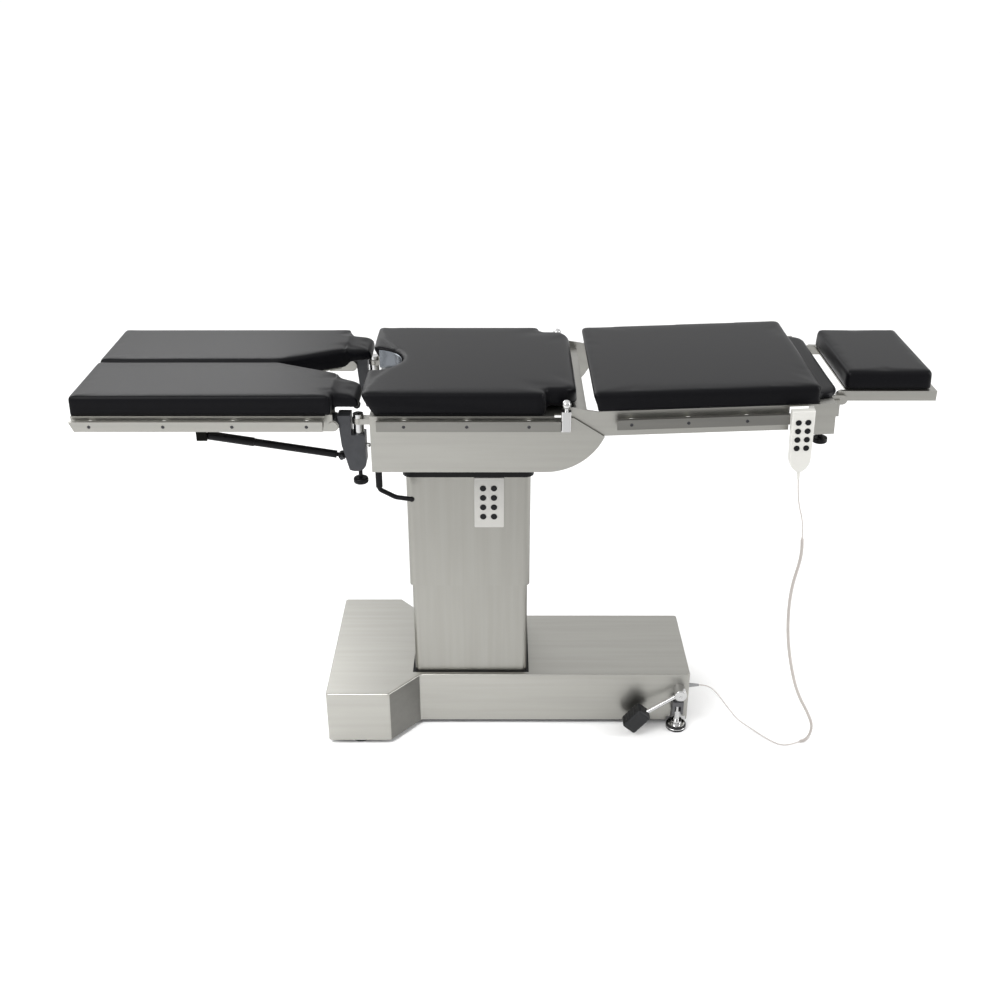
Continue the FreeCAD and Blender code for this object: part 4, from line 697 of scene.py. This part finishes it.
def make_handset_relief():
    """The short tapered sleeve at the handset's end of the cord, with the cord's hole through it."""
    start = Vector(CORD_UPPER[0])
    after = Vector(CORD_UPPER[1])
    turn = (after - start).to_track_quat("Z", "Y").to_matrix().to_4x4()
    add_trim("handset_sleeve", RELIEF, [start], turn, 24, "remote", "white_plastic")


TRAY_RADIUS = 80.5 * MM
TRAY_SHEET = 1.5 * MM
TRAY_X = -0.345
TRAY_LOW = 0.9834
TRAY_HIGH = 1.030
TRAY_TURN = 78
TRAY_STEPS = 40


def make_tray():
    """The bright curved sheet that lines the opening in the seat's end."""
    outer = TRAY_RADIUS + TRAY_SHEET
    section = ((TRAY_RADIUS, TRAY_LOW), (TRAY_RADIUS, TRAY_HIGH), (outer, TRAY_HIGH + TRAY_SHEET),
               (outer, TRAY_LOW))
    points = []
    faces = []
    for step in range(TRAY_STEPS + 1):
        angle = math.radians(-TRAY_TURN + 2 * TRAY_TURN * step / TRAY_STEPS)
        for radius, z in section:
            points.append((TRAY_X + radius * math.cos(angle), radius * math.sin(angle), z))
    for step in range(TRAY_STEPS):
        near = 4 * step
        far = near + 4
        for corner in range(4):
            after = (corner + 1) % 4
            faces.append((near + corner, far + corner, far + after, near + after))
    last = 4 * TRAY_STEPS
    faces.append((0, 1, 2, 3))
    faces.append((last + 3, last + 2, last + 1, last))
    tray = add_mesh("seat_tray", points, faces)
    finish_piece(tray, "seat", "chrome", "tray")
    tray.data.set_sharp_from_angle(angle=SHARP)


WHEEL_HUB = [(17.0, 0.0), (17.0, 0.8), (14.0, 1.2), (8.0, 1.0), (6.5, 2.0), (5.5, 2.2)]
WHEEL_HEIGHT = 0.035
# Where the hub plates of each body's wheels are, first the near one and then the far one of each wheel
WHEELS = {
    "rear_wheels": [(-0.398, y) for y in (-0.132, -0.108, 0.108, 0.132)],
    "caster_roller_near": [(0.375, y) for y in (-0.087, -0.063)],
    "caster_roller_far": [(0.375, y) for y in (0.063, 0.087)],
}


def make_wheel_hubs():
    """A grey hub plate on each side of each wheel."""
    for body, spots in WHEELS.items():
        for number, (x, y) in enumerate(spots):
            turn = outward(-1 if number % 2 == 0 else 1)
            name = "%s_hub_%d" % (body, number + 1)
            add_trim(name, WHEEL_HUB, [(x, y, WHEEL_HEIGHT)], turn, 28, body, "casting")


# Floor, lights and world

FLOOR_HALF = 60
FLOOR_CORNERS = [(-FLOOR_HALF, -FLOOR_HALF, 0), (FLOOR_HALF, -FLOOR_HALF, 0), (FLOOR_HALF, FLOOR_HALF, 0),
                 (-FLOOR_HALF, FLOOR_HALF, 0)]
FLOOR_DROP = 0.5 * MM
# Share of the floor's colour that is left where its painted shade is deepest
FLOOR_SHADE_SHARE = 0.7
# The axes along which painted shade makes the floor darker, and where that starts and ends
FLOOR_SHADE_RAMPS = (("Y", -1.25, -2.1), ("X", -0.3, 0.6))
# Each light's place, what it points at, its size (width and height, or degrees) and its power
AREA_LIGHTS = {
    "key": ((-2.2, -2.4, 3.0), (0, 0, 0.5), (2.0, 1.6), 60),
    "side": ((3.4, -0.6, 1.9), (0, 0, 0.6), (0.8, 2.2), 45),
    "behind": ((-2.0, 2.2, 2.6), (-0.4, 0, 1.0), (2.6, 1.0), 30),
}
SPOT_LIGHTS = {"pool": ((-0.9, -1.5, 2.4), (-0.4, -0.5, 0), 36, 150)}
# The world's strength at the horizon and above, and on the left and the right
SKY_RISING = (0.85, 1.3)
SKY_SIDEWAYS = (1.25, 0.75)


def paint_floor_shade(made):
    """Paint shade on the floor towards the front right, out of the camera's sight, so that the steel
    reflects a darker floor there.
    """
    tree = made.node_tree
    parts = axes(tree, "Object")
    shade_ramps = [ramp(tree, parts.outputs[axis], start, end) for axis, start, end in FLOOR_SHADE_RAMPS]
    take_down(made, calculate(tree, "MULTIPLY", *shade_ramps), FLOOR_SHADE_SHARE)


def make_floor():
    # Painted shade on the floor, darker towards the front right
    paint_floor_shade(SURFACES["floor"])
    floor = add_mesh("floor", FLOOR_CORNERS, [(0, 1, 2, 3)])
    floor.location.z = -FLOOR_DROP
    floor.data.materials.append(SURFACES["floor"])


def aim_light(name, data, place, target, power):
    data.energy = power
    light = add_object(name, data)
    light.location = place
    light.rotation_euler = (Vector(target) - Vector(place)).to_track_quat("-Z", "Y").to_euler()


def make_lights():
    for name, (place, target, size, power) in AREA_LIGHTS.items():
        data = bpy.data.lights.new(name, "AREA")
        data.shape = "RECTANGLE"
        data.size, data.size_y = size
        aim_light(name, data, place, target, power)
    for name, (place, target, angle, power) in SPOT_LIGHTS.items():
        data = bpy.data.lights.new(name, "SPOT")
        data.spot_size = math.radians(angle)
        data.spot_blend = 0.8
        data.shadow_soft_size = 0.3
        aim_light(name, data, place, target, power)


def make_world():
    """A white sky that is stronger above than at the horizon, and stronger on the left."""
    world = bpy.data.worlds.new("studio")
    world.use_nodes = True
    tree = world.node_tree
    background = tree.nodes["Background"]
    background.inputs["Color"].default_value = (1, 1, 1, 1)
    parts = axes(tree, "Generated")
    rising = ramp(tree, parts.outputs["Z"], 0, 1, *SKY_RISING)
    sideways = ramp(tree, parts.outputs["X"], -1, 1, *SKY_SIDEWAYS)
    tree.links.new(calculate(tree, "MULTIPLY", rising, sideways), background.inputs["Strength"])
    scene.world = world
    scene.view_settings.view_transform = "Standard"


make_camera()
make_cord()
paint_nodes()
for cushion, ridden in CUSHIONS.items():
    make_cushion(cushion, ridden)
make_rail_screws()
make_spring_boots()
make_swing_stops()
make_foot_trim()
make_pedal_trim()
make_gland_ribs()
make_handset_relief()
make_tray()
make_wheel_hubs()
make_floor()
make_lights()
make_world()
